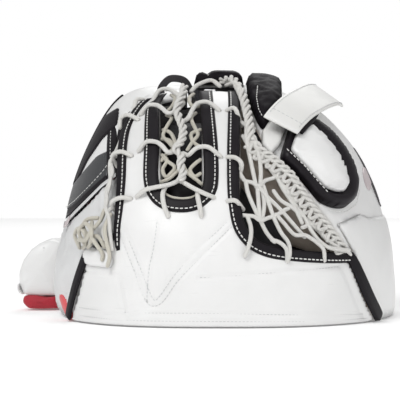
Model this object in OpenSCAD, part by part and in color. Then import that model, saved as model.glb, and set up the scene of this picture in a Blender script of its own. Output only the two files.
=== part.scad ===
// Goalie catch glove, resting pocket-down on its rim.
// X runs across the glove with the thumb at -X, Y runs from the web (-Y) to the wrist (+Y), Z is up.
// Every leather, foam and board layer is cut from one dome, so the layers nest by their depth below it.

/* [Glove] */
// Half of the width across the rim
half_width = 157; // [154:1:160]
// From the break of the glove forward to the web
web_depth = 205; // [202:1:208]
// From the break of the glove forward to the thumb
thumb_depth = 140; // [136:1:144]
// From the break of the glove back to the heel
heel_depth = 150; // [147:1:153]
// Height of the crown above the rim
crown_h = 215; // [213:1:218]

/* [Layers] */
// Leather skin on its board
skin_t = 3; // [2:0.5:3]
// Protective foam
foam_t = 11.5; // [9:0.5:12]
// Moulded plastic insert
insert_t = 2; // [1.5:0.5:2]
// Inner lining
lining_t = 2; // [1.5:0.5:2]
// Air left between stacked layers
seam_gap = 0.3; // [0.3:0.05:0.4]
// Space for the fingers between lining and palm
hand_gap = 34; // [30:1:36]
// Palm foam
palm_foam_t = 6; // [4:0.5:7]

/* [Web] */
// Thickness of the double T leather
web_t = 5; // [4:0.5:6]
// Height of the T base at its right end
base_h = 61; // [58:1:64]
// Thickness of the edge bindings
binding_t = 1.5; // [1.2:0.1:2]

/* [Lacing] */
// Diameter of the pocket laces
lace_d = 4.6; // [4:0.2:5]
// Rows of diamonds in the finger-side net
net_rows = 4; // [3:1:5]

/* [Pads] */
// Thickness of the finger pad
finger_pad_t = 13; // [11:1:14]
// Thickness of the backhand pads
backhand_t = 11; // [9:1:12]
// Thickness of the heel pad
heel_pad_t = 11; // [9:1:12]
// Outward flare of the cuff at the thumb
cuff_flare = 44; // [38:1:46]

/* [Straps] */
// Width of the hook and loop straps
strap_w = 35; // [32:1:40]
// Thickness of a strap
strap_t = 3; // [2:0.5:3.5]
// Width of the pull loop webbing
loop_w = 11; // [9:1:12]

/* [Hidden] */

white = "#f1f1ee";
black = "#17171a";
grey = "#4b4d50";
pale_grey = "#d9dbdc";
red = "#b23a45";
tan_leather = "#c8a578";
foam_colour = "#8e9196";

// Dome: the centre of its plan, and how square each side is
dome_x = 20;
dome_y = 28;
thumb_square = 2.9;
finger_square = 2.3;
plan_square = 2.2;
rise_square = 2.4;
quarter = [0, 5, 13, 24, 36, 48, 60, 72, 82];
bearings = [for (side = [0:3]) for (a = quarter) 90 * side + a];
lifts = [0, 6, 14, 24, 35, 47, 60, 73, 84];
frame_shift = [0, -7, 0];
far = 400;

// Depths of the layers below the dome
foam_top = skin_t + seam_gap;
foam_end = foam_top + foam_t;
insert_top = foam_end + seam_gap;
insert_end = insert_top + insert_t;
lining_top = insert_end + seam_gap;
lining_end = lining_top + lining_t;
palm_top = lining_end + hand_gap;
palm_end = palm_top + palm_foam_t;
binding_off = web_t + 0.6;
lace_off = web_t + binding_t + 0.9 + lace_d / 2;
break_x = dome_x - 35;
break_z = crown_h - 65;
break_gap = 2;
web_back = -22;
region_inset = 4;

// Outlines seen from the front, as [x, z]
base_outline = [[-118, 0], [150, 0], [124, base_h], [84, 67], [62, 70], [44, 77], [31, 92],
    [-78, 92], [-78, 76], [-96, 66], [-102, 60]];
left_stem = [[-78, 70], [-77, 155], [-66, 191], [-50, 203], [-38, 203], [-41, 190], [-38, 129],
    [-38, 70]];
right_stem = [[-3, 70], [-3, 155], [-2, 208], [33, 203], [32, 155], [31, 112], [31, 70]];
stem_bridge = [[-40, 80], [0, 80], [0, 112], [-40, 112]];
finger_edge = [[131, 62], [113, 88], [95, 111], [77, 138], [55, 156], [42, 182], [37, 200]];
finger_front = concat([[157, -2]], finger_edge, [[34, 240], [200, 240], [200, -2]]);
skirt_outline = [[160, -2], [134, 62], [116, 90], [140, 97], [150, 92], [200, 92], [200, -2]];
pad_outline = [[67.5, 148], [82.2, 134], [93.4, 119.8], [101, 109], [112, 103.5], [124, 102],
    [132, 108], [135, 120], [131, 137], [123, 152], [112, 166], [98, 177], [78, 182]];
pad_face_outline = [[72, 148], [99.4, 114.7], [112, 110], [121, 111], [125, 120], [121, 134],
    [113, 147], [103, 160], [92, 170], [84, 170], [77, 160]];
thumb_front = [[-150, 76], [-132, 85], [-94, 123], [-90, 124], [-90, 111], [-73.5, 111],
    [-73.5, 181], [-60, 190], [-40, 199], [break_x - break_gap, 205], [break_x - break_gap, 240],
    [-150, 240]];
thumb_back = [[-200, -2], [-97, -2], [break_x - break_gap, break_z],
    [break_x - break_gap, 240], [-200, 240]];
guard_front = [[-150, -2], [-120.5, -2], [-105, 61], [-99, 73], [-81, 84], [-81, 133],
    [-132, 82], [-150, 72]];
shelf_front = [[-130, 86.5], [-88, 128.5], [-88, 132], [-130, 90]];
stripe_black = [[-129, 132], [-124, 165], [-106, 182], [-76, 190], [-88, 174], [-108, 158]];
stripe_grey = [[-132, 92], [-121, 99], [-88, 128], [-88, 152], [-107, 136], [-131, 112]];
strap_base_outline = [[58, 161], [62, 152], [82, 186], [76, 196], [59, 172]];
heel_outline = [[-6, 4], [122, 4], [118, 60], [90, 66], [10, 66], [-6, 60]];
index_outline = [[-10, 180], [36, 180], [36, 250], [-10, 250]];
middle_outline = [[40, 201], [45, 184], [52, 171], [54, 178], [68, 195], [68, 250], [40, 250]];
tab_outline = [[-100, 52], [-83, 52], [-83, 68], [-100, 68]];

// Binding runs, as [x, z, width]
left_run = [[-76, 80, 3], [-74, 100, 7], [-72.5, 155, 9], [-61, 191, 9]];
center_run = [[-44, 200, 11], [-47, 186, 13], [-45.5, 155, 14], [-45.5, 126, 14], [-40, 110, 13],
    [-20, 104.5, 12], [-1, 110, 13], [4, 126, 13], [4, 155, 13], [5, 203, 12]];
right_run = [[28, 200, 10], [26, 155, 11], [25, 112, 11], [29, 88, 11], [43, 70.5, 11],
    [62, 64, 11], [84, 61, 11], [122, 55, 11]];
finger_seam_run = [[129, 61, 13], [141, 32, 14], [154, 0, 15]];
thumb_seam_run = [[-104, 58, 12], [-112, 30, 13], [-120, 0, 13]];
edge_run = [[-80, 114, 11], [-80, 150, 12], [-80, 180, 11]];
rim_run = [[-119, 8, 13], [-128, 8, 13], [-134, 8, 13]];
hand_strap_run = [[66, -111], [77, -89], [89, -62], [99, -30], [105, 4], [107, 32]];

// Cuff cross-section, as [outward, z] at full flare
cuff_top = [[4, 64], [16, 66], [32, 57], [42, 42], [44, 26], [39, 15]];
cuff_inner = [[36.5, 18.6], [40.6, 26.5], [38.6, 40.4], [29.4, 54.1], [15, 62.8], [4, 60.8]];
cuff_pad = [[5, 60], [15, 62], [29, 53.2], [38, 40], [40, 26.5], [36, 19], [9, 19]];
cuff_lip = [[6, 1], [36, 1], [42, 7], [39, 13.5], [8, 13.5]];
cuff_piping = [[40, 15], [44, 15], [46.5, 20], [46.5, 27], [44.6, 27], [44.2, 21]];
cuff_from = 134;
cuff_to = 175;

stall_r = 12;
stall_bore_r = 10.5;
stall_angles = [30, 47, 63, 79];
stall_y = [-36, 46];
thumb_stall_at = [-77, 0, 100];
thumb_stall_r = 16;
thumb_stall_bore_r = 14;
window_x = [8, 98];
window_z = [78, 158];

// ---- Dome ----

function side_of(v) = v < 0 ? -1 : 1;
function square_of(u) = u < 0 ? thumb_square : finger_square;
function unit(v) = v / norm(v);

// A point of the dome from its unit place, moved off the dome along the normal
function raised(u, v, w, depth, off) =
    let (n = square_of(u),
        slope = [n * pow(abs(u), n - 1) * side_of(u) / half_width,
            plan_square * pow(abs(v), plan_square - 1) * side_of(v) / depth,
            rise_square * pow(w, rise_square - 1) / crown_h])
    [dome_x + half_width * u, dome_y + depth * v, crown_h * w] + off * unit(slope);

function on_bearing(bearing, lift, depth, off) =
    let (c = cos(lift) * cos(bearing), s = cos(lift) * sin(bearing),
        u = side_of(c) * pow(abs(c), 2 / square_of(c)))
    raised(u, side_of(s) * pow(abs(s), 2 / plan_square), pow(sin(lift), 2 / rise_square),
        s < 0 ? depth : heel_depth, off);

function on_front(x, z, depth, off) =
    let (u = (x - dome_x) / half_width, w = z / crown_h,
        left = 1 - pow(abs(u), square_of(u)) - pow(w, rise_square))
    raised(u, -pow(max(left, 0.001), 1 / plan_square), w, depth, off);

function on_crown(x, y, off) =
    let (depth = y < dome_y ? web_depth : heel_depth,
        u = (x - dome_x) / half_width, v = (y - dome_y) / depth,
        left = 1 - pow(abs(u), square_of(u)) - pow(abs(v), plan_square))
    raised(u, v, pow(max(left, 0.001), 1 / rise_square), depth, off);

// The solid under the dome; drop pulls its floor below the rim, for use as a cutter
module dome(depth, off, drop = 0) {
    n = len(bearings);
    rows = len(lifts);
    points = concat(
        [for (i = [0:rows - 1]) for (b = bearings)
            on_bearing(b, lifts[i], depth, off) - [0, 0, i == 0 ? drop : 0]],
        [on_bearing(90, 90, depth, off)]);
    faces = concat([[for (j = [0:n - 1]) j]],
        [for (i = [0:rows - 2], j = [0:n - 1])
            let (a = i * n + j, b = i * n + (j + 1) % n) each [[a, a + n, b], [b, a + n, b + n]]],
        [for (j = [0:n - 1]) [(rows - 1) * n + j, rows * n, (rows - 1) * n + (j + 1) % n]]);
    polyhedron(points, faces);
}

// The layer of the dome from height out down to height in
module layer(depth, out, in) {
    difference() {
        dome(depth, out);
        dome(depth, in, 5);
    }
}

// ---- Shapes laid on the dome ----

module sewn(shade) color(shade) translate(frame_shift) resize([0, 0, 0]) children();

module solid_piece(shade) color(shade) translate(frame_shift) children();

// A front outline pushed from y0 to y1
module seen(y0, y1) rotate([90, 0, 0]) translate([0, 0, -y1]) linear_extrude(y1 - y0) children();

module front_cut() seen(-far, dome_y) children();

module back_cut() seen(dome_y, far) children();

module above(z) translate([-far, -far, z]) cube([2 * far, 2 * far, far]);

// A closed sheet between two matching grids of points
module slab(top, under) {
    rows = len(top);
    cols = len(top[0]);
    n = rows * cols;
    points = concat([for (r = top) each r], [for (r = under) each r]);
    faces = concat(
        [for (i = [0:rows - 2], j = [0:cols - 2])
            let (a = i * cols + j, b = a + 1, c = a + cols, d = c + 1)
            each [[a, c, b], [b, c, d], [a + n, b + n, c + n], [b + n, d + n, c + n]]],
        [for (j = [0:cols - 2]) let (k = (rows - 1) * cols)
            each [[j, j + 1, n + j], [j + 1, n + j + 1, n + j],
                [k + j, n + k + j, k + j + 1], [k + j + 1, n + k + j, n + k + j + 1]]],
        [for (i = [0:rows - 2]) let (a = i * cols, b = a + cols, c = a + cols - 1, d = c + cols)
            each [[a, n + a, b], [b, n + a, n + b], [c, d, n + c], [d, n + d, n + c]]]);
    outward = cross(top[0][1] - top[0][0], top[1][0] - top[0][0]) * (top[0][0] - under[0][0]) > 0;
    polyhedron(points, outward ? faces : [for (f = faces) [f[0], f[2], f[1]]]);
}

// A closed curve-following bar from a list of matching rings
module rings(loops) {
    m = len(loops[0]);
    last = len(loops) - 1;
    points = [for (r = loops) each r];
    inward = cross(loops[0][1] - loops[0][0], loops[0][2] - loops[0][0])
        * (loops[1][0] - loops[0][0]) > 0;
    faces = concat([[for (j = [0:m - 1]) m - 1 - j]], [[for (j = [0:m - 1]) last * m + j]],
        [for (i = [0:last - 1], j = [0:m - 1])
            let (a = i * m + j, b = i * m + (j + 1) % m)
            each [[a, b, a + m], [b, b + m, a + m]]]);
    polyhedron(points, inward ? [for (f = faces) [for (k = [len(f) - 1:-1:0]) f[k]]] : faces);
}

// Catmull-Rom points through a list, with steps points to a span
function spline(path, steps) = let (last = len(path) - 1) concat(
    [for (i = [0:last - 1], k = [0:steps - 1])
        let (a = path[max(i - 1, 0)], b = path[i], c = path[i + 1], d = path[min(i + 2, last)],
            t = k / steps)
        0.5 * (2 * b + t * (c - a) + t * t * (2 * a - 5 * b + 4 * c - d)
            + t * t * t * (3 * b - a - 3 * c + d))],
    [path[last]]);

// A round lace through points, sides flats round
module lace(path, d = lace_d, sides = 6) {
    last = len(path) - 1;
    hub = [dome_x, dome_y, 0];
    rings([for (i = [0:last])
        let (along = unit(path[min(i + 1, last)] - path[max(i - 1, 0)]),
            across = unit(cross(along, path[i] - hub)), out = cross(across, along))
        [for (j = [0:sides - 1])
            path[i] + d / 2 * (cos(360 * j / sides) * across + sin(360 * j / sides) * out)]]);
}

// A lace laid on the front of the dome along [x, z, height] points
function laid(path, depth = web_depth, steps = 3) =
    [for (q = spline(path, steps)) on_front(q[0], q[1], depth, q[2])];

// A flat band along front points [x, z, width], from height out down to height in
module band(run, depth, out, in, steps = 3) {
    path = spline(run, steps);
    last = len(path) - 1;
    top = [for (q = path) on_front(q[0], q[1], depth, out)];
    under = [for (q = path) on_front(q[0], q[1], depth, in)];
    aside = [for (i = [0:last]) unit(cross(top[i] - under[i],
        top[min(i + 1, last)] - top[max(i - 1, 0)])) * path[i][2] / 2];
    slab([for (i = [0:last]) [top[i] - aside[i], top[i] + aside[i]]],
        [for (i = [0:last]) [under[i] - aside[i], under[i] + aside[i]]]);
}

// ---- Regions ----

module finger_region(inset = 0) {
    front_cut() offset(delta = -inset) polygon(finger_front);
    difference() {
        translate([break_x + break_gap + inset, 15, -5]) cube([far, far, far]);
        translate([window_x[0] - inset, 60, window_z[0] - inset])
            cube([window_x[1] - window_x[0] + 2 * inset, far,
                window_z[1] - window_z[0] + 2 * inset]);
    }
}

module thumb_region(inset = 0) {
    front_cut() offset(delta = -inset) polygon(thumb_front);
    back_cut() offset(delta = -inset) polygon(thumb_back);
}

module web_region(inset = 0) seen(-far, web_back) offset(delta = -inset)
    offset(r = -9) offset(delta = 9) {
        polygon(base_outline);
        polygon(left_stem);
        polygon(right_stem);
        polygon(stem_bridge);
    }

module guard_region(inset = 0) front_cut() offset(delta = -inset) polygon(guard_front);

module palm_region() translate([30, -112, 12]) cube([far, 176, far]);

// ---- Finger side ----

module finger_shell() sewn(white) intersection() {
    layer(web_depth, 0, -skin_t);
    finger_region();
}

module finger_foam() sewn(foam_colour) intersection() {
    layer(web_depth, -foam_top, -foam_end);
    finger_region(region_inset);
    above(region_inset);
}

module finger_insert() sewn(black) intersection() {
    layer(web_depth, -insert_top, -insert_end);
    finger_region(region_inset);
    above(region_inset);
}

module finger_lining() sewn(tan_leather) intersection() {
    layer(web_depth, -lining_top, -lining_end);
    finger_region();
    above(1);
}

// Leather that closes the cut front edge of the finger layers
module finger_facing() sewn(tan_leather) intersection() {
    layer(web_depth, 0, -lining_end);
    seen(-far, 14.5) difference() {
        offset(delta = 2.2) polygon(finger_front);
        offset(delta = 0.3) polygon(finger_front);
        translate([-far, -far]) square([2 * far, far + 70]);
    }
}

module finger_skirt() sewn(white) intersection() {
    layer(web_depth, 2.4, 0.4);
    union() {
        front_cut() polygon(skirt_outline);
        back_cut() polygon([[126, -2], [200, -2], [200, 92], [126, 92]]);
    }
}

module pad_layer(out, in) intersection() {
    layer(web_depth, out, in);
    front_cut() children();
}

module finger_pad_foam() sewn(foam_colour) pad_layer(finger_pad_t - 3, 0.5)
    offset(delta = -2) polygon(pad_outline);

module finger_pad_border() sewn(black) pad_layer(finger_pad_t, finger_pad_t - 2.7)
    difference() {
        polygon(pad_outline);
        polygon(pad_face_outline);
    }

module finger_pad_face() sewn(white) pad_layer(finger_pad_t + 1, finger_pad_t - 2.7)
    offset(delta = -0.4) polygon(pad_face_outline);

module palm_foam() sewn(foam_colour) intersection() {
    layer(web_depth, -palm_top, -palm_end);
    palm_region();
}

module palm_panel() sewn(tan_leather) intersection() {
    layer(web_depth, -palm_end - seam_gap, -palm_end - seam_gap - lining_t);
    palm_region();
}

// Closes the hand space along the rim
module palm_gusset() sewn(tan_leather) intersection() {
    layer(web_depth, -lining_end - seam_gap, -palm_top + seam_gap);
    translate([30, -112, 12]) cube([far, 176, 5]);
}

function stall_place(a) =
    [dome_x + (half_width - lining_end - 18) * pow(cos(a), 2 / finger_square),
        (crown_h - lining_end - 21) * pow(sin(a), 2 / rise_square)];

module along_y(y, r) translate([0, y[1], 0]) rotate([90, 0, 0]) cylinder(h = y[1] - y[0], r = r);

// Four finger tubes joined by a sewn web
module finger_stalls() solid_piece(tan_leather) {
    places = [for (a = stall_angles) stall_place(a)];
    difference() {
        union() {
            for (p = places) translate([p[0], 0, p[1]]) along_y(stall_y, stall_r);
            seen(stall_y[0] + 20, stall_y[0] + 60)
                polygon(concat([for (i = [0:3]) places[i] + [1, 1]],
                    [for (i = [3:-1:0]) places[i] - [1, 1]]));
        }
        for (p = places)
            translate([p[0], 0, p[1]]) along_y([stall_y[0] - 1, stall_y[1] + 1], stall_bore_r);
    }
}

module heel_pad() sewn(white) intersection() {
    layer(web_depth, heel_pad_t, 0.4);
    back_cut() offset(r = 5) offset(delta = -5) polygon(heel_outline);
}

module heel_binding() sewn(black) intersection() {
    layer(web_depth, heel_pad_t + 1.5, heel_pad_t + 0.3);
    back_cut() difference() {
        offset(r = 5) offset(delta = -5) polygon(heel_outline);
        offset(delta = -8) polygon(heel_outline);
    }
}

module hand_strap_base() sewn(white) intersection() {
    layer(web_depth, 2.6, 0.4);
    front_cut() polygon(strap_base_outline);
}

module wrist_strap_base() sewn(black) intersection() {
    layer(web_depth, wrist_off - 1.8, 2.8);
    seen(60, far) translate([125, 30]) square([16, strap_w]);
}

// ---- Thumb side ----

module thumb_shell() sewn(white) intersection() {
    layer(thumb_depth, 0, -skin_t);
    thumb_region();
}

module thumb_foam() sewn(foam_colour) intersection() {
    layer(thumb_depth, -foam_top, -foam_end);
    thumb_region(region_inset);
    above(region_inset);
}

module thumb_insert() sewn(black) intersection() {
    layer(thumb_depth, -insert_top, -insert_end);
    thumb_region(region_inset);
    above(region_inset);
}

module thumb_lining() sewn(red) intersection() {
    layer(thumb_depth, -lining_top, -lining_end);
    thumb_region(1);
    above(1);
}

module thumb_facing() sewn(black) intersection() {
    layer(thumb_depth, 0, -lining_end);
    front_cut() difference() {
        offset(delta = 1.8) polygon(thumb_front);
        offset(delta = 0.3) polygon(thumb_front);
        translate([-far, -far]) square([2 * far, far + 112]);
        translate([-far, -far]) square([far - 79, 2 * far]);
    }
}

module thumb_stripe_black() sewn(black) intersection() {
    layer(thumb_depth, 1.3, 0.3);
    front_cut() polygon(stripe_black);
}

module thumb_stripe_grey() sewn(grey) intersection() {
    layer(thumb_depth, 1.3, 0.3);
    front_cut() polygon(stripe_grey);
}

module thumb_edge_binding() sewn(black) band(edge_run, thumb_depth, 2.2, 0.7);

module thumb_guard() sewn(pale_grey) intersection() {
    layer(web_depth, 0, -skin_t);
    guard_region();
}

module thumb_guard_foam() sewn(foam_colour) intersection() {
    layer(web_depth, -foam_top, -foam_end);
    guard_region(3);
    above(2);
}

module thumb_guard_lining() sewn(red) intersection() {
    layer(web_depth, -insert_top, -insert_top - lining_t);
    guard_region(1);
}

// Leather that closes the step between guard and thumb
module thumb_shelf() sewn(pale_grey) intersection() {
    difference() {
        dome(web_depth, 0);
        dome(thumb_depth, 1.8, 5);
    }
    front_cut() polygon(shelf_front);
}

module thumb_rim_binding() sewn(red) band(rim_run, web_depth, 2, 0.6);

module thumb_stall() solid_piece(tan_leather) difference() {
    translate(thumb_stall_at) along_y([-30, 60], thumb_stall_r);
    translate(thumb_stall_at) along_y([-31, 61], thumb_stall_bore_r);
}

module lace_tab() sewn(white) intersection() {
    layer(web_depth, web_t + 4, web_t + 0.6);
    front_cut() offset(r = 5) offset(delta = -5) polygon(tab_outline);
}

// Tied ends over the tab
module thumb_laces() sewn(white) {
    up = lace_off + 3;
    lace(laid([[-101, 74, up], [-94, 70, up + 3], [-86, 76, up], [-80, 88, up]]));
    lace(laid([[-98, 80, up], [-91, 73, up + 2], [-84, 64, up], [-82, 54, up], [-86, 46, up]]));
    lace(laid([[-92, 74, up + 4], [-97, 62, up + 1], [-103, 52, up], [-104, 44, up]]));
}

// ---- Web ----

module web_face() sewn(white) intersection() {
    layer(web_depth, web_t, 0);
    web_region();
}

module web_stiffener() sewn(black) intersection() {
    layer(web_depth, -seam_gap, -seam_gap - 1.7);
    web_region(3);
}

module web_backing() sewn(black) intersection() {
    layer(web_depth, -2.3, -4.6);
    web_region();
}

module web_binding_left() sewn(black) web_band(left_run);

module web_binding_center() sewn(black) web_band(center_run);

module web_binding_right() sewn(black) web_band(right_run);

module web_seam_finger() sewn(black) web_band(finger_seam_run);

module web_seam_thumb() sewn(black) web_band(thumb_seam_run);

module web_band(run) intersection() {
    band(run, web_depth, binding_off + binding_t, binding_off);
    above(0);
}

// ---- Lacing ----

function edge_at(z, edge) = lookup(z, [for (q = edge) [q[1], q[0]]]);

// Net between a straight edge x0 and the finger edge, one more diamond to each lower row
net_top = 184;
net_foot = 84;
function net_z(i) = net_top + (net_foot - net_top) * i / net_rows;
function net_point(i, j, lift) =
    let (z = net_z(i), x0 = 35, x1 = edge_at(z, finger_edge) - 4)
    [x0 + (x1 - x0) * j / (i + 1), z, lift];

module net_right() sewn(white) {
    for (j = [0:net_rows])
        lace(laid([for (i = [max(j - 1, 0):net_rows]) net_point(i, j, i % 2 == 0 ? 0 : 3)],
            steps = 2));
    for (k = [0:net_rows - 1])
        lace(laid([for (i = [k:net_rows]) net_point(i, i - k, i % 2 == 0 ? 3 : 0)], steps = 2));
}

// Two laces plaited along the finger edge
module finger_edge_lacing() sewn(white) {
    turns = 9;
    drop = 104;
    for (hand = [-1, 1])
        lace(sides = 5, path = [for (i = [0:turns * 2])
            let (z = 181 - drop * i / (turns * 2), swing = i % 2 == 0 ? 1 : -1)
            on_front(edge_at(z, finger_edge) - 8 + 3 * swing * hand, z, web_depth,
                3 + 2.6 * swing * hand)]);
}

// Plait down the middle window, with a looser pair of laces out to the stems
module net_center() sewn(white) {
    heights = [206, 194, 180, 166, 152, 139, 127];
    for (side = [-1, 1]) {
        lace(laid([for (i = [0:6]) let (s = i % 2 == 0 ? side : -side)
            [-19.5 + 3.6 * s, heights[i], 3 + 2.4 * s]], steps = 2));
        lace(laid([for (i = [0:5]) [-20 + side * (i % 2 == 0 ? 14 : 7), heights[i] - 4, 0.5 - 2 * side]],
            steps = 2));
    }
}

// Two laces worked back and forth between the T and the thumb, one over the other
module net_left() sewn(white) {
    heights = [184, 168, 152, 137, 118, 98, 80];
    edge = [[-78, 70], [-77, 155], [-66, 191]];
    for (side = [0, 1])
        lace(spline([for (i = [0:6]) let (z = heights[i], x = edge_at(z, edge), up = 4.8 + 5 * side)
            (i + side) % 2 == 0 ? on_front(x - 3.2, z, web_depth, up)
                : z > 140 ? on_front(x - 7, z, thumb_depth, up + 8)
                : on_front(x - 8, z, web_depth, up)], 2));
}

// Lace loops over the bindings of both stems, as [x, z] from hole to edge
stem_loops = [
    [[-80, 106], [-71, 110], [-63, 110]], [[-59, 110], [-45, 114], [-33, 118], [-21, 127]],
    [[-80, 145], [-71, 150], [-65, 150]], [[-58, 151], [-47, 156], [-39, 155], [-34, 150]],
    [[-73, 174], [-64, 181]], [[-53, 187], [-43, 190], [-34, 185]],
    [[-18, 127], [-7, 119], [4, 113], [10, 112]], [[21, 110], [28, 109], [36, 105]],
    [[-8, 149], [0, 154], [9, 152]], [[20, 148], [27, 146], [36, 142]],
    [[-8, 187], [-1, 193], [9, 193]], [[19, 190], [26, 189], [36, 184]],
    [[-34, 119], [-34, 108], [-33, 94]], [[-7, 119], [-7, 108], [-6, 94]]];

module stem_laces() sewn(white) for (p = stem_loops)
    lace(laid([for (i = [0:len(p) - 1]) concat(p[i], [lace_off])], steps = 2));

module break_gusset() sewn(black) intersection() {
    layer(web_depth, -lining_end - 1, -lining_end - 2.5);
    translate([break_x - 16, dome_y, 150]) cube([32, 100, 100]);
}

// ---- Cuff ----

function cuff_rings(section) = [for (i = [0:12])
    let (t = i / 12, foot = on_bearing(cuff_from + (cuff_to - cuff_from) * t, 0, web_depth, 0),
        out = unit(on_bearing(cuff_from + (cuff_to - cuff_from) * t, 0, web_depth, 1) - foot),
        reach = cuff_flare / 44 * (0.5 + 0.5 * t))
    [for (q = section) foot + out * (0.7 + (q[0] - 4) * reach) + [0, 0, q[1]]]];

module cuff_shell() sewn(white) rings(cuff_rings(concat(cuff_top, cuff_inner)));

module cuff_foam() sewn(foam_colour) rings(cuff_rings(cuff_pad));

module cuff_lining() sewn(red) rings(cuff_rings(cuff_lip));

module cuff_binding() sewn(black) rings(cuff_rings(cuff_piping));

// ---- Backhand and straps ----

module backhand_piece(outline) intersection() {
    layer(web_depth, backhand_t, 0.8);
    seen(-far, 122) offset(r = 6) offset(delta = -6) polygon(outline);
    children();
}

module backhand_pad_index() sewn(black) backhand_piece(index_outline)
    translate([-far, -6, 0]) cube([2 * far, far, far]);

module backhand_pad_middle() sewn(black) backhand_piece(middle_outline)
    translate([-far, -far, 0]) cube([2 * far, 2 * far, far]);

// A strap over the crown along plan points [x, y]
module crown_band(run, width, out, in) {
    path = spline(run, 3);
    last = len(path) - 1;
    top = [for (q = path) on_crown(q[0], q[1], out)];
    under = [for (q = path) on_crown(q[0], q[1], in)];
    aside = [for (i = [0:last]) unit(cross(top[i] - under[i],
        top[min(i + 1, last)] - top[max(i - 1, 0)])) * width / 2];
    slab([for (i = [0:last]) [top[i] - aside[i], top[i] + aside[i]]],
        [for (i = [0:last]) [under[i] - aside[i], under[i] + aside[i]]]);
}

strap_off = finger_pad_t + 2.5;

module hand_strap() sewn(white)
    crown_band(hand_strap_run, strap_w, strap_off + strap_t, strap_off);

module hand_strap_hook() sewn(black) crown_band([[68.5, -106], [74.5, -94], [82, -78]],
    strap_w - 8, strap_off - 0.4, strap_off - 1.6);

function on_heel(x, z, off) = let (p = on_front(x, z, heel_depth, off)) [p[0], 2 * dome_y - p[1], p[2]];

module heel_band(xs, z, width, out, in) {
    top = [for (x = xs) on_heel(x, z, out)];
    under = [for (x = xs) on_heel(x, z, in)];
    up = [0, 0, width / 2];
    slab([for (p = top) [p - up, p + up]], [for (p = under) [p - up, p + up]]);
}

wrist_xs = [for (i = [0:10]) -4 + 14.4 * i];
wrist_off = heel_pad_t + 4;

module wrist_strap() sewn(white)
    heel_band(wrist_xs, 49, strap_w, wrist_off + strap_t, wrist_off);

module wrist_strap_hook() sewn(black)
    heel_band([for (i = [0:4]) 4 + 7 * i], 49, strap_w - 8, wrist_off - 0.4, wrist_off - 1.4);

// Flat webbing arch standing on the thumb crown
module pull_loop() sewn(black) difference() {
    seen(-13, -10) translate([-31, 196]) difference() {
        offset(r = 12) square([8, 14]);
        offset(r = 12 - loop_w / 1.6) square([8, 14]);
    }
    dome(thumb_depth, 1.2, 5);
}

finger_shell();
finger_foam();
finger_insert();
finger_lining();
finger_facing();
finger_skirt();
finger_pad_foam();
finger_pad_border();
finger_pad_face();
palm_panel();
palm_foam();
palm_gusset();
finger_stalls();
heel_pad();
heel_binding();
hand_strap_base();
wrist_strap_base();
thumb_shell();
thumb_foam();
thumb_insert();
thumb_lining();
thumb_facing();
thumb_stripe_black();
thumb_stripe_grey();
thumb_edge_binding();
thumb_guard();
thumb_guard_foam();
thumb_guard_lining();
thumb_shelf();
thumb_rim_binding();
thumb_stall();
lace_tab();
thumb_laces();
web_face();
web_stiffener();
web_backing();
web_binding_left();
web_binding_center();
web_binding_right();
web_seam_finger();
web_seam_thumb();
net_left();
net_center();
net_right();
finger_edge_lacing();
stem_laces();
break_gusset();
cuff_shell();
cuff_foam();
cuff_lining();
cuff_binding();
backhand_pad_index();
backhand_pad_middle();
hand_strap();
hand_strap_hook();
wrist_strap();
wrist_strap_hook();
pull_loop();
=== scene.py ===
"""Visual model of a goalie's catch glove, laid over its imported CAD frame.

The glove is cut from one moulded shape, a squarish half ball, and every leather piece is a panel,
band, lace or pad at its own height over that shape. Lengths in outlines are millimetres and are
turned into metres as they are read. Front outlines are [x, z] points seen from the web side.
"""

import logging
import math
from dataclasses import dataclass, field
from enum import Enum
from typing import Callable, Dict, List, Optional, Sequence, Tuple

import bpy
import numpy as np
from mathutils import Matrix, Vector


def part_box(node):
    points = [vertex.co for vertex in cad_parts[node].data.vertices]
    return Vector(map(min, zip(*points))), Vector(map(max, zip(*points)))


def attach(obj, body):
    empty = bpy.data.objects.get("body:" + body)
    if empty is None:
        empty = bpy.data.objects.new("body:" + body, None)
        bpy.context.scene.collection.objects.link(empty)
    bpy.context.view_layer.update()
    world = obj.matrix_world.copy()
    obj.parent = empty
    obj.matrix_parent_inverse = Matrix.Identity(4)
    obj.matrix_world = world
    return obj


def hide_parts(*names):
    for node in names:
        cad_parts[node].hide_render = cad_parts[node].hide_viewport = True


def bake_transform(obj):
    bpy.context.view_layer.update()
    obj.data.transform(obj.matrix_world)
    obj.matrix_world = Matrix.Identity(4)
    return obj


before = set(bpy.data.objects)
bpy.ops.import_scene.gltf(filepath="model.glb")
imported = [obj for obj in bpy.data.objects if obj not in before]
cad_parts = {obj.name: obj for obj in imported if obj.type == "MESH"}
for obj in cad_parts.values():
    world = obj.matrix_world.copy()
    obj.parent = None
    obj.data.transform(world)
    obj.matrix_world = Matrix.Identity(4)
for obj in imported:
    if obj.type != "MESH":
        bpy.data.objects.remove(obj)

Array = np.ndarray
Placer = Callable[[Array, Array], Array]
MM = 0.001
log = logging.getLogger("catch_glove")


def mm(rows: Sequence) -> Array:
    """Rows of millimetres as an array of metres."""
    return np.array(rows, float) * MM


def unit(rows: Array) -> Array:
    """Rows scaled to length one."""
    return rows / np.maximum(np.linalg.norm(rows, axis=-1, keepdims=True), 1e-12)


# ---------------------------------------------------------------- the moulded shape


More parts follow.
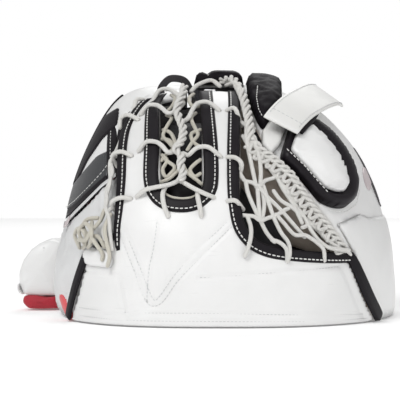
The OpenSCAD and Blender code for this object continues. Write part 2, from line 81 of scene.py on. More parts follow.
@dataclass(frozen=True)
class Dome:
    """The moulded shape of the glove: |u|^n + |v|^2.2 + w^2.4 = 1 in half sizes u, v, w.

    n is 2.9 on the thumb half and 2.3 on the finger half. v is negative towards the web, where
    the half size is front_depth, and positive towards the heel.
    """

    centre_x: float
    centre_y: float
    half_width: float
    front_depth: float
    heel_depth: float
    crown: float
    thumb_square: float = 2.9
    finger_square: float = 2.3
    plan_square: float = 2.2
    rise_square: float = 2.4

    def square(self, u: Array) -> Array:
        """The squareness of the half that u lies in."""
        return np.where(u < 0, self.thumb_square, self.finger_square)

    def raised(self, u: Array, v: Array, w: Array, height: Array) -> Array:
        """Points at a height along the shape's own slope.

        Args:
            u, v, w: places on the shape in half sizes.
            height: metres over the shape.

        Returns:
            Points, one row each.
        """
        n, m, k = self.square(u), self.plan_square, self.rise_square
        depth = np.where(v < 0, self.front_depth, self.heel_depth)
        slope = np.stack([
            n * np.abs(u) ** (n - 1) * np.sign(u) / self.half_width,
            m * np.abs(v) ** (m - 1) * np.sign(v) / depth,
            k * np.abs(w) ** (k - 1) / self.crown], axis=-1)
        place = np.stack([self.centre_x + self.half_width * u,
                          self.centre_y + depth * v, self.crown * w], axis=-1)
        return place + unit(slope) * np.asarray(height, float)[..., None]

    def front(self, flat: Array, height: Array) -> Array:
        """Points over the web side at [x, z]: v solves the shape's equation for u and w."""
        u = (flat[..., 0] - self.centre_x) / self.half_width
        w = np.clip(flat[..., 1] / self.crown, 0, 1)
        room = 1 - np.abs(u) ** self.square(u) - w ** self.rise_square
        return self.raised(u, -np.clip(room, 1e-9, 1) ** (1 / self.plan_square), w, height)

    def heel(self, flat: Array, height: Array) -> Array:
        """Points over the heel side at [x, z]."""
        u = (flat[..., 0] - self.centre_x) / self.half_width
        w = np.clip(flat[..., 1] / self.crown, 0, 1)
        room = 1 - np.abs(u) ** self.square(u) - w ** self.rise_square
        return self.raised(u, np.clip(room, 1e-9, 1) ** (1 / self.plan_square), w, height)

    def top(self, flat: Array, height: Array) -> Array:
        """Points over the crown at plan [x, y]."""
        u = (flat[..., 0] - self.centre_x) / self.half_width
        v = flat[..., 1] - self.centre_y
        v = v / np.where(v < 0, self.front_depth, self.heel_depth)
        room = 1 - np.abs(u) ** self.square(u) - np.abs(v) ** self.plan_square
        return self.raised(u, v, np.clip(room, 1e-9, 1) ** (1 / self.rise_square), height)

    def chart(self, u: Array, v: Array) -> Array:
        """Chart places of points on the shape; see spread().

        Args:
            u, v: places in half sizes, from which w follows.

        Returns:
            Chart points, one row each, inside a squarish disc of half size 1.
        """
        w = np.clip(1 - np.abs(u) ** self.square(u) - np.abs(v) ** self.plan_square, 0, 1)
        lift = np.arcsin(np.clip(w ** 0.5, 0, 1))
        r = 1 - lift / (math.pi / 2)
        pull = np.where(r < 1e-6, math.pi / 2, np.sin(math.pi / 2 * r) / np.maximum(r, 1e-6))
        return np.stack([u / pull ** (2 / self.square(u)), v / pull ** (2 / self.plan_square)], -1)

    def spread(self, flat: Array, height: Array) -> Array:
        """Points over the whole shape from chart points.

        The chart is a flattened globe seen from above: the crown is its middle, its rim is the
        glove's rim, and the distance from the middle is the angle down from the crown.
        """
        p, q = flat[..., 0], flat[..., 1]
        n, m = self.square(p), self.plan_square
        r = np.clip(np.sqrt(np.abs(p) ** n + np.abs(q) ** m), 1e-9, 1)
        pull = np.sin(math.pi / 2 * r) / r
        u, v = p * pull ** (2 / n), q * pull ** (2 / m)
        room = 1 - np.abs(u) ** n - np.abs(v) ** m
        return self.raised(u, v, np.clip(room, 0, 1) ** (1 / self.rise_square), height)

    def chart_front(self, flat: Array) -> Array:
        """Chart places of front [x, z] points."""
        u = (flat[:, 0] - self.centre_x) / self.half_width
        w = np.clip(flat[:, 1] / self.crown, 0, 1)
        room = np.clip(1 - np.abs(u) ** self.square(u) - w ** self.rise_square, 0, 1)
        return self.chart(u, -room ** (1 / self.plan_square))

    def short_of_side(self, flat: Array, spare: float = 0.0006) -> Array:
        """Front points, held back where they'd pass the shape's side."""
        w = np.clip(flat[:, 1] / self.crown, 0, 1)
        past = np.sign(flat[:, 0] - self.centre_x)
        square = np.where(past < 0, self.thumb_square, self.finger_square)
        reach = self.half_width * np.clip(1 - w ** self.rise_square, 0, 1) ** (1 / square) - spare
        gap = np.minimum(np.abs(flat[:, 0] - self.centre_x), reach)
        return np.stack([self.centre_x + past * gap, flat[:, 1]], -1)

    def chart_heel(self, flat: Array) -> Array:
        """Chart places of heel side [x, z] points."""
        return self.chart_front(flat) * [1, -1]

    def chart_top(self, flat: Array) -> Array:
        """Chart places of plan [x, y] points."""
        v = flat[:, 1] - self.centre_y
        return self.chart((flat[:, 0] - self.centre_x) / self.half_width,
                          v / np.where(v < 0, self.front_depth, self.heel_depth))

    def chart_rim(self, start: float, end: float, count: int) -> Array:
        """Chart places along the rim between two bearings in degrees, 0 at the finger side."""
        a = np.radians(np.linspace(start, end, count))
        c, s = np.cos(a), np.sin(a)
        return np.stack([np.sign(c) * np.abs(c) ** (2 / self.square(c)),
                         np.sign(s) * np.abs(s) ** (2 / self.plan_square)], -1)


def read_domes() -> Tuple[Dome, Dome]:
    """Sizes of the moulded shape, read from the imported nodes.

    Returns:
        The shape that the web and finger side are cut from, and the shallower one of the thumb.
    """
    shell_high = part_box("finger_shell")[1]
    web_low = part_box("web_face")[0]
    thumb_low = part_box("cuff_shell")[0]
    centre_x, centre_y = 0.020, 0.021
    crown = shell_high[2]
    web = Dome(centre_x, centre_y, shell_high[0] - centre_x, centre_y - web_low[1] - 0.005,
               shell_high[1] - centre_y, crown)
    log.info("dome %.0f x %.0f mm, cuff from x %.3f", web.half_width * 2000, web.front_depth * 1000,
             thumb_low[0])
    return web, Dome(centre_x, centre_y, web.half_width, web.front_depth - 0.065, web.heel_depth,
                     crown)


# ---------------------------------------------------------------- finishes


class Surface(Enum):
    """The small-scale relief of a finish."""

    GRAIN = "fine leather grain"
    CLOTH = "plain weave along the piece's own map"
    MESH = "open knit of small holes"
    BRAID = "crossed strands of a woven lace"
    PILE = "short loops"
    FOAM = "small closed cells"


@dataclass(frozen=True)
class Finish:
    """One finish: its colours, its gloss and its relief.

    Attributes:
        name: material name. slot: the record's slot name, not used. colour, shade: clean and worn colours.
        rough: base roughness. size: size of the relief in metres. relief: its depth in metres.
        surface: kind of relief. cloud: how much the shade mixes in. wear: wear along edges. The shade
            colour is also painted shade in the low parts of every relief but leather grain.
        coat, sheen: strengths of the clear coat and of the cloth sheen. gloss: specular level.
    """

    name: str
    slot: str
    colour: Tuple[float, float, float]
    shade: Tuple[float, float, float]
    rough: float
    size: float = 0.0009
    relief: float = 0.00012
    surface: Surface = Surface.GRAIN
    cloud: float = 0.35
    wear: float = 0.5
    coat: float = 0.0
    sheen: float = 0.0
    gloss: float = 0.4


WHITE = Finish("white_leather", "white_leather", (0.83, 0.83, 0.825), (0.70, 0.70, 0.695), 0.38, coat=0.12)
PALE = Finish("pale_leather", "pale_leather", (0.74, 0.745, 0.745), (0.60, 0.605, 0.61), 0.44, coat=0.08)
BLACK = Finish("black_leather", "black_leather", (0.0075, 0.0055, 0.0080), (0.020, 0.017, 0.021), 0.42,
               size=0.0008, coat=0.02, gloss=0.22)
BINDING = Finish("black_binding", "black_binding", (0.0070, 0.0055, 0.0075), (0.020, 0.017, 0.021), 0.47,
                 size=0.0007, relief=0.0001, gloss=0.18)
PAD_BLACK = Finish("black_pad_leather", "black_leather", (0.0060, 0.0045, 0.0065),
                   (0.017, 0.014, 0.018), 0.62, size=0.0008, gloss=0.12)
GREY = Finish("grey_mesh", "grey_mesh", (0.040, 0.042, 0.046), (0.010, 0.010, 0.012), 0.30,
              size=0.0017, relief=0.0004, surface=Surface.MESH, coat=0.5)
LACE = Finish("lace", "lace", (0.84, 0.83, 0.80), (0.62, 0.60, 0.55), 0.62, size=0.0012,
              relief=0.0003, surface=Surface.BRAID, cloud=0.25, sheen=0.25)
# A darker copy of the lace in the lace's own slot: on the lattice behind the centre plait it is painted
# shade, and the lace ends knotted on the thumb tab take the same colour.
DARKER_LACE = Finish("darker_lace", "lace", (0.72, 0.69, 0.60), (0.50, 0.47, 0.39), 0.66, size=0.0012,
               relief=0.0003, surface=Surface.BRAID, cloud=0.3, sheen=0.25)
TAN = Finish("tan_leather", "tan_leather", (0.60, 0.52, 0.44), (0.44, 0.37, 0.31), 0.68, size=0.0012,
             relief=0.0002, cloud=0.5, sheen=0.2)
LINING = Finish("lining_fabric", "lining_fabric", (0.50, 0.44, 0.37), (0.34, 0.30, 0.25), 0.80,
                size=0.0009, relief=0.0002, surface=Surface.CLOTH, sheen=0.3)
RED = Finish("red_lining", "red_lining", (0.46, 0.022, 0.040), (0.24, 0.010, 0.018), 0.55,
             size=0.0011, relief=0.0002, surface=Surface.CLOTH, sheen=0.2)
SALMON = Finish("salmon_binding", "red_lining", (0.72, 0.115, 0.125), (0.50, 0.06, 0.07), 0.45)
WEBBING = Finish("black_webbing", "black_webbing", (0.030, 0.026, 0.030), (0.010, 0.009, 0.010), 0.60,
                 size=0.0011, relief=0.0003, surface=Surface.CLOTH, sheen=0.2)
STRAP = Finish("white_strap", "strap_webbing", (0.80, 0.80, 0.78), (0.66, 0.655, 0.635), 0.44,
               size=0.0007, relief=0.0001, coat=0.05)
HOOK = Finish("hook_and_loop", "hook_and_loop", (0.015, 0.015, 0.016), (0.05, 0.05, 0.052), 0.85,
              size=0.0013, relief=0.0005, surface=Surface.PILE, sheen=0.4)
FOAM = Finish("foam", "foam", (0.045, 0.045, 0.050), (0.10, 0.10, 0.105), 0.85, size=0.0014,
              relief=0.0003, surface=Surface.FOAM)
PLASTIC = Finish("insert_plastic", "insert_plastic", (0.70, 0.70, 0.68), (0.55, 0.55, 0.53), 0.35,
                 size=0.004, relief=0.00008, cloud=0.2)
THREAD = Finish("white_thread", "lace", (0.86, 0.86, 0.84), (0.66, 0.66, 0.63), 0.60, size=0.0004,
                relief=0.00008, surface=Surface.BRAID)
TONAL = Finish("tonal_thread", "lace", (0.66, 0.665, 0.67), (0.54, 0.545, 0.55), 0.60, size=0.0004,
               relief=0.00008, surface=Surface.BRAID)
CHARCOAL = Finish("charcoal_print", "grey_mesh", (0.075, 0.070, 0.075), (0.035, 0.033, 0.036), 0.42)
BLUSH = Finish("blush_print", "pale_leather", (0.60, 0.53, 0.54), (0.47, 0.42, 0.43), 0.44)


class Wiring:
    """Short calls that add and join shader nodes in one tree."""

    def __init__(self, tree: bpy.types.NodeTree) -> None:
        """Keeps the tree that nodes are added to."""
        self.tree = tree

    def add(self, kind: str, **settings) -> bpy.types.Node:
        """Adds a node.

        Args:
            kind: node type. settings: its properties, and its input values or links, named with
                underscores for spaces.

        Returns:
            The node.
        """
        node = self.tree.nodes.new(kind)
        for key, value in settings.items():
            if hasattr(node, key):
                setattr(node, key, value)
                continue
            where = int(key[1:]) if key[0] == "i" and key[1:].isdigit() else key.replace("_", " ")
            if isinstance(value, bpy.types.NodeSocket):
                self.tree.links.new(value, node.inputs[where])
            else:
                node.inputs[where].default_value = value
        return node

    def math(self, operation: str, first, second=0.0) -> bpy.types.NodeSocket:
        """The result of a Math node on two values or sockets."""
        return self.add("ShaderNodeMath", operation=operation, i0=first, i1=second).outputs[0]

    def spans(self, value, low: float, high: float, to_low: float, to_high: float):
        """A value carried from one span to another, kept inside it."""
        return self.add("ShaderNodeMapRange", i0=value, i1=low, i2=high, i3=to_low,
                        i4=to_high).outputs[0]

    def mix(self, share, first, second) -> bpy.types.NodeSocket:
        """Two colours mixed by a share."""
        node = self.add("ShaderNodeMix", data_type="RGBA")
        for where, value in ((0, share), (6, first), (7, second)):
            if isinstance(value, bpy.types.NodeSocket):
                self.tree.links.new(value, node.inputs[where])
            else:
                node.inputs[where].default_value = value
        return node.outputs[2]


def effect(name: str, inputs: Dict[str, str], outputs: Sequence[str]):
    """A new shader node group.

    Args:
        name: group name. inputs: socket names and types. outputs: names of float outputs.

    Returns:
        The group, its wiring, its input node and its output node.
    """
    group = bpy.data.node_groups.new(name, "ShaderNodeTree")
    for label, kind in inputs.items():
        group.interface.new_socket(label, in_out="INPUT", socket_type=kind)
    for label in outputs:
        group.interface.new_socket(label, in_out="OUTPUT", socket_type="NodeSocketFloat")
    wires = Wiring(group)
    return group, wires, wires.add("NodeGroupInput"), wires.add("NodeGroupOutput")


class Effects:
    """The node groups that the finishes share."""

    def __init__(self) -> None:
        """Builds each group once."""
        self.relief = {
            Surface.GRAIN: self.grain(), Surface.FOAM: self.grain("foam_cells", 0.6),
            Surface.CLOTH: self.weave(), Surface.MESH: self.knit(),
            Surface.BRAID: self.braid(), Surface.PILE: self.pile()}
        self.wear = self.edge_wear()
        self.cloud = self.clouding()

    def grain(self, name: str = "leather_grain", crease: float = 0.35) -> bpy.types.NodeTree:
        """Pebbled cells broken up by fine noise and a few soft creases."""
        group, w, given, out = effect(name, {"Place": "NodeSocketVector", "Size": "NodeSocketFloat"},
                                      ["Height"])
        scale = w.math("DIVIDE", 1.0, given.outputs["Size"])
        cells = w.add("ShaderNodeTexVoronoi", feature="SMOOTH_F1", Vector=given.outputs["Place"],
                      Scale=scale)
        fine = w.add("ShaderNodeTexNoise", Vector=given.outputs["Place"],
                     Scale=w.math("MULTIPLY", scale, 2.3), Detail=2.0)
        slow = w.add("ShaderNodeTexNoise", Vector=given.outputs["Place"],
                     Scale=w.math("MULTIPLY", scale, 0.06), Detail=3.0)
        height = w.math("ADD", w.math("MULTIPLY", cells.outputs["Distance"], -0.6),
                        w.math("MULTIPLY", fine.outputs[0], 0.4))
        height = w.math("ADD", height, w.math("MULTIPLY", slow.outputs[0], crease * 4))
        w.tree.links.new(height, out.inputs["Height"])
        return group

    def weave(self) -> bpy.types.NodeTree:
        """Over and under threads: the larger of two sine ridges that take turns."""
        group, w, given, out = effect("plain_weave", {"Place": "NodeSocketVector",
                                                      "Size": "NodeSocketFloat"}, ["Height"])
        split = w.add("ShaderNodeSeparateXYZ", Vector=given.outputs["Place"])
        turn = w.math("DIVIDE", math.pi, given.outputs["Size"])
        a = w.math("SINE", w.math("MULTIPLY", w.math("ADD", split.outputs[0], split.outputs[2]), turn))
        b = w.math("SINE", w.math("MULTIPLY", w.math("ADD", split.outputs[1], split.outputs[2]), turn))
        height = w.math("ADD", w.math("MULTIPLY", w.math("MULTIPLY", a, b), 0.5), 0.5)
        w.tree.links.new(height, out.inputs["Height"])
        return group

    def knit(self) -> bpy.types.NodeTree:
        """Round holes in staggered rows: the distance to the nearest cell centre."""
        group, w, given, out = effect("open_knit", {"Place": "NodeSocketVector",
                                                    "Size": "NodeSocketFloat"}, ["Height"])
        cells = w.add("ShaderNodeTexVoronoi", Vector=given.outputs["Place"], Randomness=0.15,
                      Scale=w.math("DIVIDE", 1.0, given.outputs["Size"]))
        w.tree.links.new(w.spans(cells.outputs["Distance"], 0.18, 0.42, 0.0, 1.0), out.inputs["Height"])
        return group

    def braid(self) -> bpy.types.NodeTree:
        """Crossed strands: the product of two slanted sine ridges on the lace's own map."""
        group, w, given, out = effect("lace_braid", {"Place": "NodeSocketVector",
                                                     "Size": "NodeSocketFloat"}, ["Height"])
        split = w.add("ShaderNodeSeparateXYZ", Vector=given.outputs["Place"])
        turn = w.math("DIVIDE", math.pi, given.outputs["Size"])
        left = w.math("SINE", w.math("MULTIPLY", w.math("ADD", split.outputs[0], split.outputs[1]), turn))
        right = w.math("SINE", w.math("MULTIPLY", w.math("SUBTRACT", split.outputs[0],
                                                         split.outputs[1]), turn))
        height = w.math("ABSOLUTE", w.math("MULTIPLY", left, right))
        w.tree.links.new(height, out.inputs["Height"])
        return group

    def pile(self) -> bpy.types.NodeTree:
        """Short loops: sharp noise."""
        group, w, given, out = effect("loop_pile", {"Place": "NodeSocketVector",
                                                    "Size": "NodeSocketFloat"}, ["Height"])
        noise = w.add("ShaderNodeTexNoise", Vector=given.outputs["Place"], Detail=4.0, Roughness=0.8,
                      Scale=w.math("DIVIDE", 1.0, given.outputs["Size"]))
        w.tree.links.new(w.spans(noise.outputs[0], 0.35, 0.65, 0.0, 1.0), out.inputs["Height"])
        return group

    def edge_wear(self) -> bpy.types.NodeTree:
        """Wear along edges and seams: the rim mask broken up by noise."""
        group, w, given, out = effect("edge_wear", {"Rim": "NodeSocketFloat", "Place": "NodeSocketVector"},
                                      ["Mask"])
        noise = w.add("ShaderNodeTexNoise", Vector=given.outputs["Place"], Scale=120.0, Detail=4.0)
        broken = w.spans(noise.outputs[0], 0.40, 0.68, 0.0, 1.0)
        w.tree.links.new(w.math("MULTIPLY", w.math("POWER", given.outputs["Rim"], 1.5), broken),
                         out.inputs["Mask"])
        return group

    def clouding(self) -> bpy.types.NodeTree:
        """Slow changes of colour and a few scuffs."""
        group, w, given, out = effect("clouding", {"Place": "NodeSocketVector"}, ["Mask", "Scuff"])
        slow = w.add("ShaderNodeTexNoise", Vector=given.outputs["Place"], Scale=22.0, Detail=3.0)
        drag = w.add("ShaderNodeMapping", Vector=given.outputs["Place"], Scale=(60.0, 60.0, 420.0),
                     Rotation=(0.4, 0.7, 0.2))
        scuff = w.add("ShaderNodeTexNoise", Vector=drag.outputs[0], Scale=1.0, Detail=2.0)
        w.tree.links.new(w.spans(slow.outputs[0], 0.35, 0.7, 0.0, 1.0), out.inputs["Mask"])
        w.tree.links.new(w.spans(scuff.outputs[0], 0.62, 0.75, 0.0, 1.0), out.inputs["Scuff"])
        return group


class Dyer:
    """Makes each finish's material once and puts it on pieces."""

    def __init__(self) -> None:
        """Builds the shared effects."""
        self.effects = Effects()
        self.made: Dict[str, bpy.types.Material] = {}

    def material(self, finish: Finish) -> bpy.types.Material:
        """The material of a finish.

        The colour goes from the clean to the shade colour by clouding, scuffs and edge wear, and by
        painted shade in the low parts of every relief but leather grain; the roughness follows the
        same masks, and the relief feeds one bump.
        """
        if finish.name in self.made:
            return self.made[finish.name]
        made = bpy.data.materials.new(finish.name)
        made.use_nodes = True
        made.node_tree.nodes.clear()
        w = Wiring(made.node_tree)
        place = w.add("ShaderNodeTexCoord")
        mapped = finish.surface in (Surface.BRAID,)
        where = place.outputs["UV"] if mapped else place.outputs["Object"]
        relief = w.add("ShaderNodeGroup", node_tree=self.effects.relief[finish.surface])
        w.tree.links.new(where, relief.inputs["Place"])
        relief.inputs["Size"].default_value = finish.size
        cloud = w.add("ShaderNodeGroup", node_tree=self.effects.cloud)
        w.tree.links.new(place.outputs["Object"], cloud.inputs["Place"])
        rim = w.add("ShaderNodeAttribute", attribute_name="rim")
        wear = w.add("ShaderNodeGroup", node_tree=self.effects.wear)
        w.tree.links.new(rim.outputs["Fac"], wear.inputs["Rim"])
        w.tree.links.new(place.outputs["Object"], wear.inputs["Place"])
        clean, worn_and_shaded = (*finish.colour, 1.0), (*finish.shade, 1.0)
        share = w.math("MULTIPLY", cloud.outputs["Mask"], finish.cloud)
        share = w.math("MAXIMUM", share, w.math("MULTIPLY", cloud.outputs["Scuff"], finish.cloud))
        share = w.math("MAXIMUM", share, w.math("MULTIPLY", wear.outputs["Mask"], finish.wear))
        # Painted shade: on every relief but leather grain, the low parts (between threads and lace strands,
        # in the knit's holes, between loops and cells) take the shade colour.
        low = w.spans(relief.outputs["Height"], 0.0, 0.5, 0.35, 0.0)
        if finish.surface is not Surface.GRAIN:
            share = w.math("MAXIMUM", share, low)
        colour = w.mix(share, clean, worn_and_shaded)
        rough = w.spans(share, 0.0, 1.0, finish.rough, min(1.0, finish.rough + 0.22))
        bump = w.add("ShaderNodeBump", Strength=1.0, Distance=finish.relief,
                     Height=relief.outputs["Height"])
        shader = w.add("ShaderNodeBsdfPrincipled", Base_Color=colour, Roughness=rough,
                       Normal=bump.outputs[0], Coat_Weight=finish.coat, Coat_Roughness=0.25,
                       Specular_IOR_Level=finish.gloss,
                       Sheen_Weight=finish.sheen, Sheen_Roughness=0.4)
        w.add("ShaderNodeOutputMaterial", Surface=shader.outputs[0])
        self.made[finish.name] = made
        return made

    def dress(self, piece: bpy.types.Object, finish: Finish) -> None:
        """Puts a finish on a new piece."""
        piece.data.materials.clear()
        piece.data.materials.append(self.material(finish))

    def dress_node(self, node: str, finish: Finish) -> None:
        """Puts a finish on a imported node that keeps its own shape."""
        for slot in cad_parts[node].material_slots:
            slot.material = self.material(finish)

# ---------------------------------------------------------------- meshes


def object_from(name: str, points: Array, quads: Array, fans: Sequence[Array] = (),
                across: Optional[Array] = None, rim: Optional[Array] = None) -> bpy.types.Object:
    """A mesh object at the origin.

    Args:
        name: piece name. points: vertices in metres. quads: rows of four corners.
        fans: further faces of any size, as corner lists. across: a map place for each vertex.
        rim: how close each vertex is to an edge or seam, 0 to 1.

    Returns:
        The object, smooth shaded.
    """
    sizes = np.concatenate([np.full(len(quads), 4), [len(f) for f in fans]]).astype(np.int32)
    corners = np.concatenate([quads.ravel(), *[np.asarray(f) for f in fans]]).astype(np.int32)
    mesh = bpy.data.meshes.new(name)
    mesh.vertices.add(len(points))
    mesh.vertices.foreach_set("co", points.astype(np.float32).ravel())
    mesh.loops.add(len(corners))
    mesh.loops.foreach_set("vertex_index", corners)
    mesh.polygons.add(len(sizes))
    mesh.polygons.foreach_set("loop_start", np.concatenate([[0], np.cumsum(sizes)[:-1]]).astype(np.int32))
    mesh.polygons.foreach_set("use_smooth", np.ones(len(sizes), bool))
    mesh.update(calc_edges=True)
    if across is not None:
        layer = mesh.uv_layers.new(name="map")
        layer.data.foreach_set("uv", across[corners].astype(np.float32).ravel())
    mask = mesh.attributes.new("rim", "FLOAT", "POINT")
    mask.data.foreach_set("value", (np.zeros(len(points)) if rim is None else rim).astype(np.float32))
    piece = bpy.data.objects.new(name, mesh)
    bpy.context.scene.collection.objects.link(piece)
    return piece


def smooth_path(knots: Array, step: float, closed: bool = False) -> Array:
    """A Catmull-Rom curve through knots, taken again at even steps of length.

    Args:
        knots: rows of a place and any further values. step: distance between points.
        closed: whether the curve returns to its start.

    Returns:
        Rows like the knots.
    """
    around = np.concatenate([knots[-1:], knots, knots[:2]]) if closed else np.concatenate(
        [2 * knots[:1] - knots[1:2], knots, 2 * knots[-1:] - knots[-2:-1]])
    a, b, c, d = around[:-3, None], around[1:-2, None], around[2:-1, None], around[3:, None]
    t = np.linspace(0, 1, 16, endpoint=False)[None, :, None]
    curve = 0.5 * (2 * b + (c - a) * t + (2 * a - 5 * b + 4 * c - d) * t ** 2
                   + (3 * b - a - 3 * c + d) * t ** 3)
    curve = np.concatenate([curve.reshape(-1, knots.shape[1]), c[-1]])
    return even_path(curve, step)


def even_path(path: Array, step: float, axes: int = 3) -> Array:
    """A path taken again at even steps of length along its first columns."""
    gaps = np.linalg.norm(np.diff(path[:, :axes], axis=0), axis=1)
    along = np.concatenate([[0], np.cumsum(gaps)])
    count = max(2, int(round(along[-1] / step)) + 1)
    places = np.linspace(0, along[-1], count)
    return np.stack([np.interp(places, along, column) for column in path.T], axis=1)


def sleeve(rings: int, around: int) -> Tuple[Array, List[Array]]:
    """Faces of a closed sleeve.

    Args:
        rings: how many rings. around: corners in each ring.

    Returns:
        Quads between neighbouring rings, and the two end faces.
    """
    i, j = np.meshgrid(np.arange(rings - 1), np.arange(around), indexing="ij")
    k = (j + 1) % around
    quads = np.stack([i * around + j, i * around + k, (i + 1) * around + k, (i + 1) * around + j], -1)
    return quads.reshape(-1, 4), [np.arange(around)[::-1], (rings - 1) * around + np.arange(around)]


def tube(path: Array, facing: Array, width: Array, thick: Array, sides: int = 8
         ) -> Tuple[Array, Array, List[Array], Array]:
    """An oval cord along a path: at each point a ring in the plane across the path.

    Args:
        path: points. facing: the direction of each ring's thickness, such as away from the glove.
        width, thick: ring sizes at each point. sides: corners in a ring.

    Returns:
        Points, quads, end faces and map places (across, along) in metres.
    """
    pitch = float(np.mean(width)) / 2
    ends = np.array([0.15, 0.6, 0.88])
    along = np.concatenate([[0], np.cumsum(np.linalg.norm(np.diff(path, axis=0), axis=1))])
    tangent = unit(np.gradient(path, axis=0))
    side = unit(np.cross(facing, tangent))
    up = np.cross(tangent, side)
    head = path[0] - tangent[0] * np.array([[0.95], [0.7], [0.35]]) * pitch
    tail = path[-1] + tangent[-1] * np.array([[0.35], [0.7], [0.95]]) * pitch
    spine = np.concatenate([head, path, tail])
    grow = np.concatenate([ends, np.ones(len(path)), ends[::-1]])
    repeat = lambda rows: np.concatenate([np.repeat(rows[:1], 3, 0), rows, np.repeat(rows[-1:], 3, 0)])
    width, thick, side, up, along = map(repeat, (width, thick, side, up, along))
    turn = np.linspace(0, 2 * math.pi, sides, endpoint=False)
    ring = (side[:, None] * (np.cos(turn)[None, :, None] * (width * grow / 2)[:, None, None])
            + up[:, None] * (np.sin(turn)[None, :, None] * (thick * grow / 2)[:, None, None]))
    points = (spine[:, None] + ring).reshape(-1, 3)
    quads, caps = sleeve(len(spine), sides)
    across = np.stack([np.tile(turn / (2 * math.pi) * 0.0144, len(spine)), np.repeat(along, sides)], -1)
    return points, quads, caps, across


def outward(points: Array, quads: Array) -> Array:
    """Quads turned, all or none, so that the closed form they make has a positive volume."""
    a, b, c, d = (points[quads[:, i]] for i in range(4))
    volume = np.einsum("ij,ij->i", a, np.cross(b, c)).sum() + np.einsum("ij,ij->i", a, np.cross(c, d)).sum()
    return quads if volume > 0 else quads[:, ::-1]


def turned_out(piece: bpy.types.Object) -> bpy.types.Object:
    """Turns a closed piece's faces outwards if its volume is negative."""
    mesh = piece.data
    mesh.calc_loop_triangles()
    points = np.empty(len(mesh.vertices) * 3, np.float32)
    mesh.vertices.foreach_get("co", points)
    corners = np.empty(len(mesh.loop_triangles) * 3, np.int32)
    mesh.loop_triangles.foreach_get("vertices", corners)
    a, b, c = points.reshape(-1, 3).astype(float)[corners.reshape(-1, 3)].transpose(1, 0, 2)
    if np.einsum("ij,ij->i", a, np.cross(b, c)).sum() < 0:
        mesh.flip_normals()
    return piece


def cords(name: str, parts: Sequence[Tuple[Array, Array, float, float]], sides: int = 8
          ) -> bpy.types.Object:
    """One piece of several cords.

    Args:
        name: piece name. parts: path, facing, width and thickness of each cord. sides: ring corners.

    Returns:
        The object, with its map along each cord.
    """
    points, quads, fans, across, base = [], [], [], [], 0
    for path, facing, width, thick in parts:
        full = np.full(len(path), 1.0)
        p, q, f, m = tube(path, facing, width * full, thick * full, sides)
        flip = outward(p, q)[0, 0] != q[0, 0]
        points.append(p)
        quads.append((q[:, ::-1] if flip else q) + base)
        fans += [(g[::-1] if flip else g) + base for g in f]
        across.append(m)
        base += len(p)
    return object_from(name, np.concatenate(points), np.concatenate(quads), fans,
                       np.concatenate(across))


@dataclass(frozen=True)
class Row:
    """A row of stitches: flattened beads along a path.

    Attributes:
        path, facing: points and the direction away from the leather at each.
        length, gap, width: sizes of a stitch.
    """

    path: Array
    facing: Array
    length: float = 0.0028
    gap: float = 0.0014
    width: float = 0.0009

    def beads(self) -> Tuple[Array, Array, List[Array]]:
        """Every stitch's points, quads and ends: one six-sided bead moved to each place."""
        gaps = np.linalg.norm(np.diff(self.path, axis=0), axis=1)
        along = np.concatenate([[0], np.cumsum(gaps)])
        count = max(1, int(along[-1] / (self.length + self.gap)))
        at = (np.arange(count) + 0.5) * along[-1] / count
        pick = lambda rows, s: np.stack([np.interp(s, along, c) for c in rows.T], 1)
        middle = pick(self.path, at)
        tangent = unit(pick(self.path, at + 0.0006) - pick(self.path, at - 0.0006))
        up = unit(pick(self.facing, at))
        side = np.cross(up, tangent)
        turn = np.linspace(0, 2 * math.pi, 6, endpoint=False)
        rise, size = np.array([-0.5, -0.36, 0.36, 0.5]), np.array([0.45, 1.0, 1.0, 0.45])
        form = np.stack([np.repeat(rise, 6) * self.length,
                         np.outer(size, np.cos(turn)).ravel() * self.width / 2,
                         np.outer(size, np.sin(turn)).ravel() * self.width * 0.4], -1)
        points = (middle[:, None] + form[None, :, :1] * tangent[:, None]
                  + form[None, :, 1:2] * side[:, None] + form[None, :, 2:] * up[:, None])
        i, j = np.meshgrid(np.arange(3), np.arange(6), indexing="ij")
        k = (j + 1) % 6
        bead = np.stack([i * 6 + j, i * 6 + k, i * 6 + 6 + k, i * 6 + 6 + j], -1).reshape(-1, 4)
        quads = (np.arange(count)[:, None, None] * 24 + bead).reshape(-1, 4)
        caps = [n * 24 + c for n in range(count) for c in (np.arange(6)[::-1], 18 + np.arange(6))]
        return points.reshape(-1, 3), quads, caps


def stitching(name: str, rows: Sequence[Row]) -> bpy.types.Object:
    """One piece of several rows of stitches."""
    points, quads, fans, base = [], [], [], 0
    for row in rows:
        p, q, f = row.beads()
        points.append(p)
        quads.append(q + base)
        fans += [g + base for g in f]
        base += len(p)
    joined = np.concatenate(points)
    return turned_out(object_from(name, joined, np.concatenate(quads), fans, joined[:, :2]))


def inside(points: Array, loops: Sequence[Array]) -> Array:
    """Whether points are inside loops, by counting the crossings of a ray."""
    x, y = points[:, 0], points[:, 1]
    odd = np.zeros(len(points), bool)
    for loop in loops:
        a, b = loop, np.roll(loop, -1, axis=0)
        for (x0, y0), (x1, y1) in zip(a, b):
            if y0 != y1:
                cross = ((y0 > y) != (y1 > y)) & (x < (x1 - x0) * (y - y0) / (y1 - y0) + x0)
                odd ^= cross
    return odd


def nearest_on(points: Array, segments: Array) -> Array:
    """The nearest places to points on segments, given as rows of two ends."""
    best, found = np.full(len(points), np.inf), points.copy()
    for a, b in segments:
        along = b - a
        share = np.clip(((points - a) @ along) / max(along @ along, 1e-18), 0, 1)
        place = a + share[:, None] * along
        far = np.linalg.norm(points - place, axis=1)
        nearer = far < best
        best[nearer], found[nearer] = far[nearer], place[nearer]
    return found


